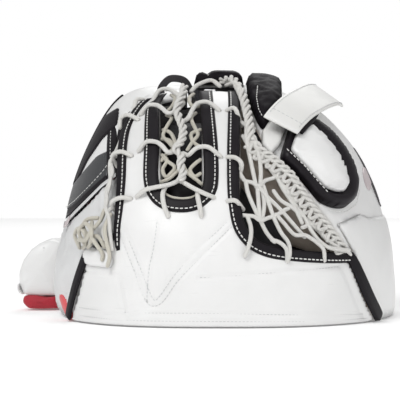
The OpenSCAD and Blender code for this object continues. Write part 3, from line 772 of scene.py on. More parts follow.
def distance_to(points: Array, marks: Array) -> Array:
    """Distance from each point to the nearest mark, worked out in blocks."""
    found = np.empty(len(points))
    for start in range(0, len(points), 2000):
        block = points[start:start + 2000]
        square = ((block ** 2).sum(1)[:, None] + (marks ** 2).sum(1)[None] - 2 * block @ marks.T)
        found[start:start + 2000] = np.sqrt(np.maximum(square.min(1), 0))
    return found


def rounded_loop(loop: Array, radius: float, step: float) -> Array:
    """A closed outline with its corners eased: even points, averaged over a length."""
    points = even_path(np.concatenate([loop, loop[:1]]), step, 2)[:-1]
    reach = max(1, int(radius / step))
    weights = np.hanning(2 * reach + 3)[1:-1]
    weights /= weights.sum()
    wrapped = np.concatenate([points[-reach:], points, points[:reach]])
    return np.stack([np.convolve(c, weights, "valid") for c in wrapped.T], 1)


@dataclass
class Channel:
    """A sewn channel or a crease pressed into a panel.

    Attributes:
        path: chart points. depth, width: size of its dent, a bell curve across it.
    """

    path: Array
    depth: float = 0.0012
    width: float = 0.0022


@dataclass
class Panel:
    """A leather panel: a grid over a chart, trimmed to an outline, with rolled edges.

    Height over the moulded shape = base + thickness * quarter circle of the distance to the
    outline + puff * (1 - e^(-distance / reach)) - channels + slow waves. The underside is the same
    grid at the base height, joined to the top along the outline.

    Attributes:
        name: piece name. place: chart to space. loops: outline and holes in the chart.
        cell: grid step in the chart. base, thickness, roll: heights and edge radius in metres.
        puff, reach: how far the middle swells, and how soon. channels: sewn lines.
        waves: height of slow waves. wave_size: their length. shape: any further height.
    """

    name: str
    place: Placer
    loops: List[Array]
    cell: float
    base: float
    thickness: float
    roll: float = 0.002
    puff: float = 0.0
    reach: float = 0.02
    channels: List[Channel] = field(default_factory=list)
    waves: float = 0.0
    wave_size: float = 0.05
    shape: Optional[Callable[[Array, Array], Array]] = None
    seed: float = 0.0

    def grid(self) -> Tuple[Array, Array, Array]:
        """Chart points of the trimmed grid, its quads, and which points are on the outline."""
        every = np.concatenate(self.loops)
        low, high = every.min(0) - self.cell, every.max(0) + self.cell
        xs, ys = (np.arange(low[i], high[i] + self.cell, self.cell) for i in (0, 1))
        gx, gy = np.meshgrid(xs, ys)
        flat = np.stack([gx.ravel(), gy.ravel()], -1)
        nx = len(xs)
        i, j = np.meshgrid(np.arange(len(ys) - 1), np.arange(nx - 1), indexing="ij")
        first = (i * nx + j).ravel()
        kept = inside(flat[first] + self.cell / 2, self.loops)
        quads = np.stack([first, first + 1, first + 1 + nx, first + nx], -1)[kept]
        used, quads = np.unique(quads, return_inverse=True)
        quads = quads.reshape(-1, 4)
        flat = flat[used]
        sides = np.concatenate([quads[:, [k, (k + 1) % 4]] for k in range(4)])
        ordered = np.sort(sides, axis=1)
        _, first_seen, counts = np.unique(ordered[:, 0] * len(flat) + ordered[:, 1],
                                             return_index=True, return_counts=True)
        on_edge = np.zeros(len(flat), bool)
        on_edge[ordered[first_seen[counts == 1]].ravel()] = True
        segments = np.concatenate([np.stack([loop, np.roll(loop, -1, 0)], 1) for loop in self.loops])
        flat[on_edge] = nearest_on(flat[on_edge], segments)
        pairs = ordered[first_seen]
        for _ in range(6):
            total, count = np.zeros_like(flat), np.zeros(len(flat))
            for a, b in ((0, 1), (1, 0)):
                np.add.at(total, pairs[:, a], flat[pairs[:, b]])
                np.add.at(count, pairs[:, a], 1)
            flat = np.where(on_edge[:, None], flat, total / count[:, None])
        return flat, quads, on_edge

    def build(self) -> bpy.types.Object:
        """The panel's object."""
        flat, quads, on_edge = self.grid()
        zero = np.zeros(len(flat))
        ground = self.place(flat, zero)
        marks = np.concatenate([self.place(line, np.zeros(len(line))) for line in
                                (even_path(np.concatenate([loop, loop[:1]]), self.cell / 2, 2)
                                 for loop in self.loops)])
        away = np.where(on_edge, 0, distance_to(ground, marks))
        turn = np.clip(1 - away / self.roll, 0, 1)
        rise = self.thickness * np.sqrt(np.clip(1 - turn ** 2, 0, 1))
        rise = rise + self.puff * (1 - np.exp(-away / self.reach)) * (away > 0)
        rim = np.exp(-away / 0.004)
        soft = np.clip(away / max(self.roll, 1e-6), 0, 1)
        for channel in self.channels:
            line = even_path(channel.path, self.cell / 2, 2)
            far = distance_to(ground, self.place(line, np.zeros(len(line))))
            dent = np.exp(-(far / channel.width) ** 2)
            rise = rise - channel.depth * dent * soft
            rim = np.maximum(rim, dent * 0.6)
        if self.waves:
            a, b, c = (ground / self.wave_size * 2 * math.pi + self.seed).T
            rise = rise + self.waves * soft * (np.sin(a + 0.7 * np.sin(c)) * np.sin(c + 0.9 * np.sin(b)))
        if self.shape is not None:
            rise = rise + self.shape(flat, away)
        top = self.place(flat, self.base + rise)
        under = self.place(flat, self.base + zero)
        count = len(flat)
        lower = np.where(on_edge, np.arange(count), count + np.arange(count))
        quads_under = lower[quads][:, ::-1]
        points = np.concatenate([top, under])
        points[:count][on_edge] = under[on_edge]
        faces = np.concatenate([quads, quads_under])
        used, faces = np.unique(faces, return_inverse=True)
        faces = faces.reshape(-1, 4)
        across = np.concatenate([ground[:, [0, 2]], ground[:, [0, 2]]])[used]
        return turned_out(object_from(self.name, points[used], faces, (), across,
                                      np.concatenate([rim, rim])[used]))


@dataclass
class Band:
    """A folded binding along a path: a rounded strip that stands on the leather.

    Attributes:
        name: piece name. place: chart to space. knots: chart points and widths in metres.
        base, thickness: heights over the moulded shape. cuts: columns across. edges: power of the
        rounded section, 1 - |s|^edges.
    """

    name: str
    place: Placer
    knots: Array
    base: float
    thickness: float
    cuts: int = 9
    edges: float = 5.0
    floor: Optional[float] = None
    step: float = 0.003

    def lines(self) -> Tuple[Array, Array, Array, Array]:
        """Points, facing, side and half width along the band at its base height."""
        knots = smooth_path(self.knots, self.step)
        low = self.place(knots[:, :2], np.full(len(knots), self.base))
        facing = unit(self.place(knots[:, :2], np.full(len(knots), self.base + 0.001)) - low)
        side = unit(np.cross(facing, np.gradient(low, axis=0)))
        return low, facing, side, knots[:, 2] / 2

    def build(self) -> bpy.types.Object:
        """The band's object: rows along the path, columns across, and an underside."""
        low, facing, side, half = self.lines()
        s = np.linspace(-1, 1, self.cuts)
        s = np.sign(s) * np.abs(s) ** 0.6
        rise = self.thickness * (1 - np.abs(s) ** self.edges)
        taper = np.ones(len(low))
        taper[0] = taper[-1] = 0.0
        across = side[:, None] * (half[:, None, None] * s[None, :, None])
        top = low[:, None] + across + facing[:, None] * (rise[None, :] * taper[:, None])[..., None]
        under = low[:, None] + across
        n, m = top.shape[:2]
        points = np.concatenate([top.reshape(-1, 3), under.reshape(-1, 3)])
        if self.floor is not None:
            points[:, 2] = np.maximum(points[:, 2], self.floor)
        i, j = np.meshgrid(np.arange(n - 1), np.arange(m - 1), indexing="ij")
        quads = np.stack([i * m + j, i * m + j + 1, (i + 1) * m + j + 1, (i + 1) * m + j], -1)
        quads = quads.reshape(-1, 4)
        link = np.arange(n * m).reshape(n, m)
        lower = link + n * m
        lower[:, 0], lower[:, -1], lower[0], lower[-1] = link[:, 0], link[:, -1], link[0], link[-1]
        faces = np.concatenate([quads, lower.ravel()[quads][:, ::-1]])
        used, faces = np.unique(faces, return_inverse=True)
        gaps = np.linalg.norm(np.diff(low, axis=0), axis=1)
        along = np.concatenate([[0], np.cumsum(gaps)])
        sheet = np.stack([np.tile(s, n) * np.repeat(half, m), np.repeat(along, m)], -1)
        rim = np.tile(np.abs(s) ** 4, n)
        return turned_out(object_from(self.name, points[used], faces.reshape(-1, 4), (),
                                      np.concatenate([sheet, sheet])[used],
                                      np.concatenate([rim, rim])[used]))

    def row(self, share: float, **sizes: float) -> Row:
        """A row of stitches along the band, at a share of its half width to one side."""
        low, facing, side, half = self.lines()
        rise = self.thickness * (1 - abs(share) ** self.edges)
        path = low + side * (half * share)[:, None] + facing * (rise + 0.0001)
        return Row(path[1:-1], facing[1:-1], **sizes)


def pumped(piece: bpy.types.Object, cap: float, pressure: float = 4.0) -> bpy.types.Object:
    """Swells a pad with a short cloth simulation, held along its rim.

    Args:
        piece: a closed pad whose rim attribute is near 1 at its edges and seams.
        cap: the furthest that a point may move. pressure: the simulation's pressure.

    Returns:
        The same piece, with the swollen shape in its mesh and no simulation left on it.
    """
    scene, mesh = bpy.context.scene, piece.data
    count = len(mesh.vertices)
    start = np.empty(count * 3, np.float32)
    mesh.vertices.foreach_get("co", start)
    start = start.reshape(-1, 3)
    rim = np.empty(count, np.float32)
    mesh.attributes["rim"].data.foreach_get("value", rim)
    held = piece.vertex_groups.new(name="held")
    for level in np.unique(np.round(rim, 1)):
        rows = np.nonzero(np.round(rim, 1) == level)[0]
        held.add(rows.tolist(), float(level), "REPLACE")
    cloth = piece.modifiers.new("cloth", "CLOTH")
    cloth.settings.vertex_group_mass = "held"
    cloth.settings.use_pressure = True
    cloth.settings.uniform_pressure_force = pressure
    cloth.settings.effector_weights.gravity = 0
    cloth.settings.quality = 4
    cloth.settings.tension_stiffness = 12
    cloth.settings.shrink_min = -0.03
    cloth.collision_settings.use_collision = False
    for number in range(1, 21):
        scene.frame_set(number)
    shown = piece.evaluated_get(bpy.context.evaluated_depsgraph_get())
    end = np.empty(count * 3, np.float32)
    shown.data.vertices.foreach_get("co", end)
    moved = end.reshape(-1, 3) - start
    far = np.linalg.norm(moved, axis=1, keepdims=True)
    moved = moved * np.minimum(1, cap / np.maximum(far, 1e-9))
    piece.modifiers.remove(cloth)
    piece.vertex_groups.remove(held)
    scene.frame_set(1)
    mesh.vertices.foreach_set("co", (start + moved).ravel())
    mesh.update()
    log.info("%s swelled by up to %.1f mm", piece.name, np.linalg.norm(moved, axis=1).max() * 1000)
    return piece

# ---------------------------------------------------------------- the glove's parts


@dataclass
class Workshop:
    """What every sub-assembly works with: the two domes and the dyer."""

    web: Dome
    thumb: Dome
    dyer: Dyer

    def finish(self, piece: bpy.types.Object, finish: Finish, body: str, *nodes: str,
               padded: Optional[float] = None) -> bpy.types.Object:
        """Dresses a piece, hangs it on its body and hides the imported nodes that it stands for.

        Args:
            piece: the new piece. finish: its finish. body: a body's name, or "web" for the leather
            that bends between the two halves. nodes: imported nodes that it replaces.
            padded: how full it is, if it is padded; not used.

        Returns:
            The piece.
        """
        self.dyer.dress(piece, finish)
        if body == "web":
            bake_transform(piece)
        else:
            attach(piece, body)
        if nodes:
            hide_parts(*nodes)
        log.info("%s: %d faces on %s", piece.name, len(piece.data.polygons), body)
        return piece

    def over(self, dome: Dome, rows: Sequence, width: float = 0.0042, step: float = 0.0022
             ) -> Tuple[Array, Array, float, float]:
        """A lace laid over the front along rows of [x, z, height] in millimetres."""
        knots = smooth_path(mm(rows), step)
        path = dome.front(knots[:, :2], knots[:, 2])
        facing = unit(dome.front(knots[:, :2], knots[:, 2] + 0.001) - path)
        return path, facing, width, width * 0.86

    def front_row(self, dome: Dome, rows: Sequence, height: float, **sizes: float) -> Row:
        """A row of stitches along front [x, z] millimetres at a height in metres."""
        path = even_path(mm(rows), 0.002, 2)
        low = dome.front(path, np.full(len(path), height))
        return Row(low, unit(dome.front(path, np.full(len(path), height + 0.001)) - low), **sizes)

    def wall(self, name: str, upper: Array, lower: Array, facing: Array, thick: float
             ) -> bpy.types.Object:
        """A thin wall between two lines: a grid between them, and the same grid a thickness away."""
        t = np.linspace(0, 1, 9)[None, :, None]
        sheet = upper[:, None] * (1 - t) + lower[:, None] * t
        swell = np.sin(np.linspace(0, math.pi, 9)) ** 0.5
        outer = sheet + facing[:, None] * (thick * swell)[None, :, None]
        n, m = sheet.shape[:2]
        link = np.arange(n * m).reshape(n, m)
        back = link + n * m
        back[:, 0], back[:, -1] = link[:, 0], link[:, -1]
        i, j = np.meshgrid(np.arange(n - 1), np.arange(m - 1), indexing="ij")
        quads = np.stack([i * m + j, i * m + j + 1, (i + 1) * m + j + 1, (i + 1) * m + j], -1)
        quads = quads.reshape(-1, 4)
        ends = [np.stack([link[e, :-1], back[e, :-1], back[e, 1:], link[e, 1:]], -1)[1:-1]
                for e in (0, -1)]
        faces = np.concatenate([quads, back.ravel()[quads][:, ::-1], ends[0], ends[1][:, ::-1]])
        tips = [np.array([link[e, a], back[e, b], link[e, b]]) for e, a, b in
                ((0, 0, 1), (0, -1, -2), (-1, 0, 1), (-1, -1, -2))]
        tips = [tips[0][::-1], tips[1], tips[2], tips[3][::-1]]
        points = np.concatenate([outer.reshape(-1, 3), sheet.reshape(-1, 3)])
        return turned_out(object_from(name, points, faces, tips, points[:, [0, 2]]))


FINGER_EDGE = [[131, 62], [113, 88], [95, 111], [77, 138], [55, 156], [42, 182], [37, 200]]


@dataclass
class FingerSide:
    """The finger half: shell, skirt, raised pad, palm, heel pad and strap bases."""

    shop: Workshop
    leather: float = 0.003
    pad_height: float = 0.013
    pad_outline: Tuple = ((66, 147), (81, 133), (92.5, 119), (101, 108.5), (112, 103.5),
                          (124, 102), (132, 108), (135, 120), (131, 137), (123, 152), (112, 166),
                          (98, 177), (78, 182))
    pad_face: Tuple = ((73, 149), (87.5, 133.5), (101, 118), (107, 115), (113, 113.8), (119, 114.5),
                       (122, 121), (119.5, 134), (113, 147), (103, 160), (92, 170), (84, 170),
                       (77, 160))

    def outline(self) -> List[Array]:
        """The shell's outline in the dome's chart: front edge, crown, break line and rim."""
        web = self.shop.web
        edge = web.chart_front(even_path(mm([[157, 0], *FINGER_EDGE, [34.5, 213]]), 0.003, 2))
        crown = web.chart_top(even_path(mm([[34, 8], [-13, 8], [-13, 165]]), 0.004, 2))
        window = web.chart_heel(even_path(mm([[8, 78], [98, 78], [98, 158], [8, 158], [8, 78]]),
                                          0.004, 2))
        return [np.concatenate([edge, crown, web.chart_rim(96, -31.2, 90)]),
                rounded_loop(window, 0.04, 0.015)]

    def build_shell(self) -> None:
        """The white outer leather with its side seams."""
        web = self.shop.web
        seams = [Channel(web.chart_front(even_path(mm(line), 0.004, 2)), 0.0016, 0.0016) for line in (
            [[133, 62], [150, 78], [158, 100], [152, 140], [132, 178], [96, 196], [66, 206]],
            [[118, 88], [134, 96], [150, 96]])]
        shell = Panel("finger_side_shell", web.spread, self.outline(), 0.018, -self.leather,
                      self.leather, roll=0.003, channels=seams, waves=0.0005, wave_size=0.11)
        self.shop.finish(shell.build(), WHITE, "palm_side", "finger_shell", padded=0.8)
        edge = even_path(mm([[150, 20], *FINGER_EDGE]), 0.003, 2)
        zero = np.zeros(len(edge))
        upper, lower = web.front(edge, zero + 0.0006), web.front(edge, zero - 0.0195)
        facing = unit(np.cross(np.gradient(upper, axis=0), upper - lower))
        facing = facing * np.where(facing[:, :1] > 0, -1, 1)
        wall = self.shop.wall("finger_side_facing", upper, lower, facing, 0.0022)
        self.shop.finish(wall, TAN, "palm_side", "finger_facing")
        brim = self.shop.wall("finger_side_brim", upper + facing * 0.0006,
                              upper * 0.78 + lower * 0.22 + facing * 0.0006, facing, 0.0026)
        self.shop.finish(brim, BINDING, "palm_side")
        shut = np.clip((lower[:, 2:] - 0.055) / 0.03, 0, 1) * np.clip((0.190 - lower[:, 2:]) / 0.03, 0, 1)
        sag = lower + shut * np.array([[-0.048, 0.040, -0.006]])
        folds = 0.0016 * np.sin(np.linspace(0, 26, len(sag)))[:, None]
        pocket = self.shop.wall("pocket_leather", lower + facing * 0.0003, sag + facing * folds, facing,
                                0.0016)
        self.shop.finish(pocket, TAN, "palm_side")

    def build_skirt(self) -> None:
        """The flared lower panel at the outer side."""
        web = self.shop.web
        front = web.chart_front(even_path(mm([[157, 0], [134, 62], [118, 89], [140, 97], [150, 93],
                                              [176, 92]]), 0.003, 2))
        back = web.chart_heel(even_path(mm([[176, 92], [126, 92], [126, 0]]), 0.003, 2))
        loop = np.concatenate([front, back, web.chart_rim(52, -31.2, 50)])
        skirt = Panel("finger_side_skirt", web.spread, [loop], 0.014, 0.0004, 0.0012, roll=0.003,
                      puff=0.0012, reach=0.012, waves=0.0004, wave_size=0.09)
        self.shop.finish(skirt.build(), WHITE, "palm_side", "finger_skirt", padded=0.7)

    def build_print(self) -> None:
        """Plain sewn-on shapes at the outer side: a pale rounded patch and two thin lines."""
        web = self.shop.web
        middle = web.chart_front(web.short_of_side(mm([[150, 128]])))[0]
        turn = np.linspace(0, 2 * math.pi, 40, endpoint=False)
        leaf = middle + np.stack([0.030 * np.cos(turn), 0.085 * np.sin(turn)], -1)
        piece = Panel("side_wedge", web.spread, [leaf], 0.005, 0.0002, 0.0009, roll=0.001)
        self.shop.finish(piece.build(), BLUSH, "palm_side")
        lines = ([[144, 156, 1.6], [152, 141, 1.6], [160, 120, 1.6], [165, 104, 1.6]],
                 [[143, 150, 1.2], [149, 136, 1.2], [156, 118, 1.2], [163, 102, 1.6],
                  [166, 103, 1.2]])
        for number, rows in enumerate(lines):
            run = mm(rows)
            run[:, :2] = web.short_of_side(run[:, :2], 0.002)
            band = Band(f"side_line_{number + 1}", web.front, run, 0.0002, 0.0012, step=0.002)
            self.shop.finish(band.build(), CHARCOAL, "palm_side")

    def build_pad(self) -> None:
        """The raised finger pad: a padded black border round a padded white face."""
        web, height = self.shop.web, self.pad_height
        outer = rounded_loop(mm(self.pad_outline), 0.006, 0.0015)
        inner = rounded_loop(mm(self.pad_face), 0.004, 0.0015)
        border = Panel("finger_pad_border_roll", web.front, [outer], 0.0022, 0.0008,
                       height - 0.001, roll=0.010, channels=[Channel(np.concatenate([inner, inner[:1]]),
                                                                     0.0045, 0.0035)])
        made = border.build()
        self.shop.finish(made, BLACK, "palm_side", "finger_pad_border", "finger_pad_foam", padded=0.9)
        face = Panel("finger_pad_cushion", web.front, [inner], 0.0022, height - 0.0026, 0.0034,
                     roll=0.0035, puff=0.0018, reach=0.012)
        self.shop.finish(pumped(face.build(), 0.004), WHITE, "palm_side", "finger_pad_face",
                         padded=0.8)
        rows = [self.shop.front_row(web, [[69, 149.5], [83.5, 135.5], [95, 122], [103, 113]],
                                    height - 0.0006),
                self.shop.front_row(web, [[100, 105.5], [112, 100.3], [124, 98.8], [134.5, 105],
                                          [138, 118]], 0.0036)]
        self.shop.finish(stitching("finger_pad_stitches", rows), THREAD, "palm_side")

    def build_palm(self) -> None:
        """The soft palm that shows through the net, with folds round the pocket."""
        web = self.shop.web
        inset = 0.0605
        dome = Dome(web.centre_x, web.centre_y, web.half_width - inset, web.front_depth - inset,
                    web.heel_depth - inset, web.crown - inset)
        loop = dome.chart_top(even_path(mm([[30, -112], [30, 62], [62, 62], [98, 62]]), 0.004, 2))
        side = dome.chart_rim(40, -50, 40)
        front = dome.chart_top(even_path(mm([[86, -88], [60, -108], [30, -118]]), 0.004, 2))
        folds = [Channel(dome.chart_front(even_path(mm(line), 0.004, 2)), 0.003, 0.005) for line in (
            [[34, 120], [60, 96], [96, 80]], [[40, 140], [70, 120], [104, 100]],
            [[50, 60], [60, 90], [58, 120]], [[34, 90], [60, 66], [90, 50]])]
        palm = Panel("palm_leather", dome.spread, [np.concatenate([loop, side, front])], 0.022, -0.002,
                     0.002, roll=0.002, channels=folds, waves=0.0015, wave_size=0.06)
        self.shop.finish(palm.build(), TAN, "palm_side", "palm_panel", padded=0.3)

    def build_heel(self) -> None:
        """The heel pad behind the wrist, its binding and the strap's base."""
        web = self.shop.web
        loop = mm([[-6, 4], [122, 4], [118, 60], [90, 66], [10, 66], [-6, 60]])
        loop = rounded_loop(loop, 0.006, 0.002)
        across = [Channel(mm([[x, 2], [x + 1, 68]]), 0.0032, 0.0035) for x in (26, 58, 90)]
        pad = Panel("heel_cushion", web.heel, [loop], 0.003, 0.0006, 0.0095, roll=0.007, puff=0.0015,
                    reach=0.012, channels=across)
        self.shop.finish(pumped(pad.build(), 0.004), WHITE, "palm_side", "heel_pad", padded=0.8)
        knots = np.concatenate([loop, loop[:1]])[::3]
        inset = (knots - knots.mean(0)) * [0.955, 0.91] + knots.mean(0)
        band = Band("heel_piping", web.heel, np.c_[inset, np.full(len(inset), 0.006)], 0.0094, 0.0022)
        self.shop.finish(band.build(), BINDING, "palm_side", "heel_binding")
        self.shop.finish(stitching("heel_stitches", [band.row(-0.5), band.row(0.5)]), THREAD,
                         "palm_side")

    def build_strap_base(self) -> None:
        """The flat lower layer of the hand strap, sewn under the pad."""
        loop = rounded_loop(mm([[51, 171], [50.5, 159], [58, 149.5], [67, 158], [78, 184], [73, 193],
                                [60, 184]]), 0.002, 0.001)
        base = Panel("hand_strap_under", self.shop.web.front, [loop], 0.0018, 0.0004, 0.0042,
                     roll=0.002)
        self.shop.finish(base.build(), STRAP, "palm_side", "hand_strap_base")

    def build(self) -> None:
        """Builds the whole finger half and dresses the nodes that stay."""
        self.build_shell()
        self.build_skirt()
        self.build_print()
        self.build_pad()
        self.build_palm()
        self.build_heel()
        self.build_strap_base()
        for node, finish in (("finger_foam", FOAM), ("finger_insert", PLASTIC), ("palm_foam", FOAM),
                             ("finger_lining", LINING), ("finger_stalls", LINING),
                             ("palm_gusset", TAN), ("wrist_strap_base", HOOK)):
            self.shop.dyer.dress_node(node, finish)


@dataclass
class ThumbSide:
    """The thumb half: shell, stripes, guard, shelf, bindings, tab and its knotted laces."""

    shop: Workshop
    leather: float = 0.003

    def meridian(self, low: float, high: float) -> Array:
        """Chart points up the silhouette at the thumb side between two heights in metres."""
        w = np.linspace(low, high, 24) / self.shop.web.crown
        web = self.shop.web
        return web.chart(-(1 - w ** web.rise_square) ** (1 / web.thumb_square), 0 * w)

    @staticmethod
    def bulge(spots: Array) -> Array:
        """How far the padding over the thumb joint stands up at some points."""
        away = (spots[:, :2] - [-0.068, 0.018]) / [0.030, 0.048]
        return 0.0105 * np.exp(-(away ** 2).sum(1))

    def build_shell(self) -> None:
        """The white thumb shell, with a black edge line along its back seam."""
        thumb = self.shop.thumb
        front = thumb.chart_front(even_path(mm([[-132, 85], [-94, 123], [-90, 124], [-90, 111],
                                                [-73.5, 111], [-73.5, 181], [-60, 190], [-40, 199],
                                                [-17, 205], [-17, 213]]), 0.003, 2))
        back = thumb.chart_heel(even_path(mm([[-17, 213], [-17, 150], [-97, 0]]), 0.004, 2))
        loop = np.concatenate([thumb.chart_rim(130.7, 180, 30), self.meridian(0.002, 0.084), front,
                               back])
        shell = Panel("thumb_side_shell", thumb.spread, [loop], 0.018, -self.leather, self.leather,
                      roll=0.003, waves=0.0005, wave_size=0.10, seed=1.0,
                      shape=lambda flat, _: self.bulge(thumb.spread(flat, np.zeros(len(flat)))))
        self.shop.finish(shell.build(), WHITE, "thumb_side", "thumb_shell", padded=0.8)
        piping = smooth_path(np.array([[-133, 120, 1.6], [-127, 140, 2.0], [-112, 163, 2.0],
                                       [-92, 182, 2.0], [-70, 195, 1.6]]) * MM, 0.003)
        u = -(1 - (piping[:, 1] / thumb.crown) ** thumb.rise_square) ** (1 / thumb.thumb_square)
        rise = 0.0006 + self.bulge(thumb.raised(u, 0 * u, piping[:, 1] / thumb.crown, 0 * u))
        lift = thumb.raised(u, 0 * u, piping[:, 1] / thumb.crown, rise)
        facing = unit(thumb.raised(u, 0 * u, piping[:, 1] / thumb.crown, rise + 0.001) - lift)
        cord = cords("thumb_back_piping", [(lift, facing, 0.0026, 0.0026)])
        self.shop.finish(cord, BINDING, "thumb_side")

    def build_stripes(self) -> None:
        """The black top panel and the glossy mesh stripe with its stitches."""
        thumb = self.shop.thumb
        black = mm([[-129, 119], [-126, 132], [-121, 146], [-113, 160], [-99, 174], [-75, 188], [-79, 176],
                    [-94, 162], [-108, 143], [-118, 124]])
        mesh = mm([[-134, 92], [-121, 101], [-104, 117], [-88, 130], [-88, 153], [-98, 148],
                   [-109, 136], [-121, 122], [-132, 108]])
        for name, loop, finish, node in (("thumb_black_panel", black, BLACK, "thumb_stripe_black"),
                                         ("thumb_mesh_stripe", mesh, GREY, "thumb_stripe_grey")):
            rim = thumb.chart_front(thumb.short_of_side(rounded_loop(loop, 0.002, 0.001)))
            panel = Panel(name, thumb.spread, [rim], 0.005, 0.0003, 0.0011, roll=0.0014, puff=0.0006,
                          reach=0.006,
                          shape=lambda flat, _: self.bulge(thumb.spread(flat, np.zeros(len(flat)))))
            self.shop.finish(panel.build(), finish, "thumb_side", node)
        under = Panel("thumb_black_band", thumb.front,
                      [thumb.short_of_side(mm([[-130, 88], [-94, 122], [-88, 124], [-88, 134],
                                               [-106, 118], [-131, 97]]), 0.001)],
                      0.0018, 0.0013, 0.0008, roll=0.001)
        self.shop.finish(under.build(), BLACK, "thumb_side")
        rows = [self.shop.front_row(thumb, [[-130, 97.5], [-119, 106], [-106, 119], [-93, 133], [-88, 140]],
                                    0.0022, width=0.0008)]
        self.shop.finish(stitching("mesh_stripe_stitches", rows), THREAD, "thumb_side")

    def build_guard(self) -> None:
        """The pale guard over the thumb's base and the shelf above it."""
        web, thumb = self.shop.web, self.shop.thumb
        front = web.chart_front(even_path(mm([[-120.5, 0], [-105, 61], [-99, 73], [-81, 84], [-81, 133],
                                              [-132, 82]]), 0.003, 2))
        loop = np.concatenate([web.chart_rim(180, 211.6, 20), front, self.meridian(0.080, 0.002)])
        crease = Channel(web.chart_front(even_path(mm([[-128, 64], [-108, 66], [-98, 76]]), 0.003, 2)),
                         0.0006, 0.004)
        guard = Panel("thumb_guard_cushion", web.spread, [loop], 0.014, -self.leather, self.leather,
                      roll=0.004, puff=0.002, reach=0.02, channels=[crease], waves=0.0004)
        self.shop.finish(pumped(guard.build(), 0.004), PALE, "thumb_side", "thumb_guard", padded=0.8)
        line = even_path(mm([[-131, 84], [-118, 98], [-94, 122], [-81, 132]]), 0.003, 2)
        zero = np.zeros(len(line))
        upper, lower = thumb.front(line, zero + 0.0012), web.front(line, zero - 0.001)
        shelf = self.shop.wall("thumb_shelf_leather", upper, lower,
                               np.tile([[0.0, 0.0, 1.0]], (len(line), 1)), 0.002)
        self.shop.finish(shelf, PALE, "thumb_side", "thumb_shelf")

    def build_bindings(self) -> None:
        """The upright black binding, the salmon rim binding, the tab and the laces on it."""
        web, thumb = self.shop.web, self.shop.thumb
        edge = Band("thumb_upright_binding", thumb.front,
                    mm([[-82, 112, 10], [-84, 128, 12], [-85, 150, 13], [-85, 170, 13], [-84, 184, 12],
                        [-80, 190, 8]]), 0.0009, 0.0018)
        self.shop.finish(edge.build(), BINDING, "thumb_side", "thumb_edge_binding")
        self.shop.finish(stitching("thumb_binding_stitches", [edge.row(0.05, width=0.0007)]), THREAD,
                         "thumb_side")
        inner = Band("thumb_inner_binding", thumb.front,
                     mm([[-77, 150, 6], [-76, 170, 8], [-70, 184, 9], [-58, 191, 8]]), 0.0020, 0.0016)
        self.shop.finish(inner.build(), BINDING, "thumb_side", "thumb_facing")
        rim = Band("thumb_rim_roll", web.front, mm([[-117, 1, 5], [-121, 4, 9], [-126, 12, 11],
                                                   [-130, 20, 10], [-133, 24, 5]]), 0.0006, 0.0035,
                   floor=0.0005)
        self.shop.finish(rim.build(), SALMON, "thumb_side", "thumb_rim_binding")
        flag = Band("thumb_small_flag", web.front, mm([[-128, 84, 6], [-124, 86, 6], [-121, 92, 6]]),
                    0.0030, 0.001)
        self.shop.finish(flag.build(), BLUSH, "thumb_side")
        tab = rounded_loop(mm([[-101, 51], [-80, 50], [-78, 56], [-80, 66], [-101, 68], [-104, 60]]),
                           0.004, 0.001)
        pad = Panel("lace_tab_leather", web.front, [tab], 0.0016, 0.0056, 0.0034, roll=0.0035,
                    puff=0.0012, reach=0.005)
        self.shop.finish(pad.build(), WHITE, "thumb_side", "lace_tab", padded=0.6)
        ends = [
            [[-104, 66, 10], [-106, 76, 13], [-101, 82, 15], [-95, 78, 16], [-96, 70, 13], [-101, 66, 10]],
            [[-97, 68, 12], [-99, 78, 17], [-94, 86, 17], [-88, 80, 18], [-90, 70, 16], [-95, 67, 12]],
            [[-92, 88, 12], [-88, 80, 18], [-92, 72, 19], [-99, 72, 17], [-103, 68, 12]],
            [[-84, 100, 8], [-86, 88, 12], [-90, 78, 17], [-86, 70, 16], [-83, 62, 12], [-84, 57, 11]],
            [[-79, 96, 8], [-81, 84, 12], [-79, 72, 13], [-77, 60, 12], [-80, 52, 10]],
            [[-88, 92, 11], [-94, 90, 14], [-98, 84, 14], [-93, 76, 14], [-86, 76, 13], [-82, 68, 11]]]
        made = cords("thumb_lace_ends", [self.shop.over(web, rows, 0.0040) for rows in ends])
        self.shop.finish(made, DARKER_LACE, "thumb_side", "thumb_laces")

    def build(self) -> None:
        """Builds the whole thumb half and dresses the nodes that stay."""
        self.build_shell()
        self.build_stripes()
        self.build_guard()
        self.build_bindings()
        for node, finish in (("thumb_foam", FOAM), ("thumb_insert", PLASTIC), ("thumb_lining", BLACK),
                             ("thumb_guard_foam", FOAM), ("thumb_guard_lining", RED),
                             ("thumb_stall", LINING), ("break_gusset", BLACK)):
            self.shop.dyer.dress_node(node, finish)


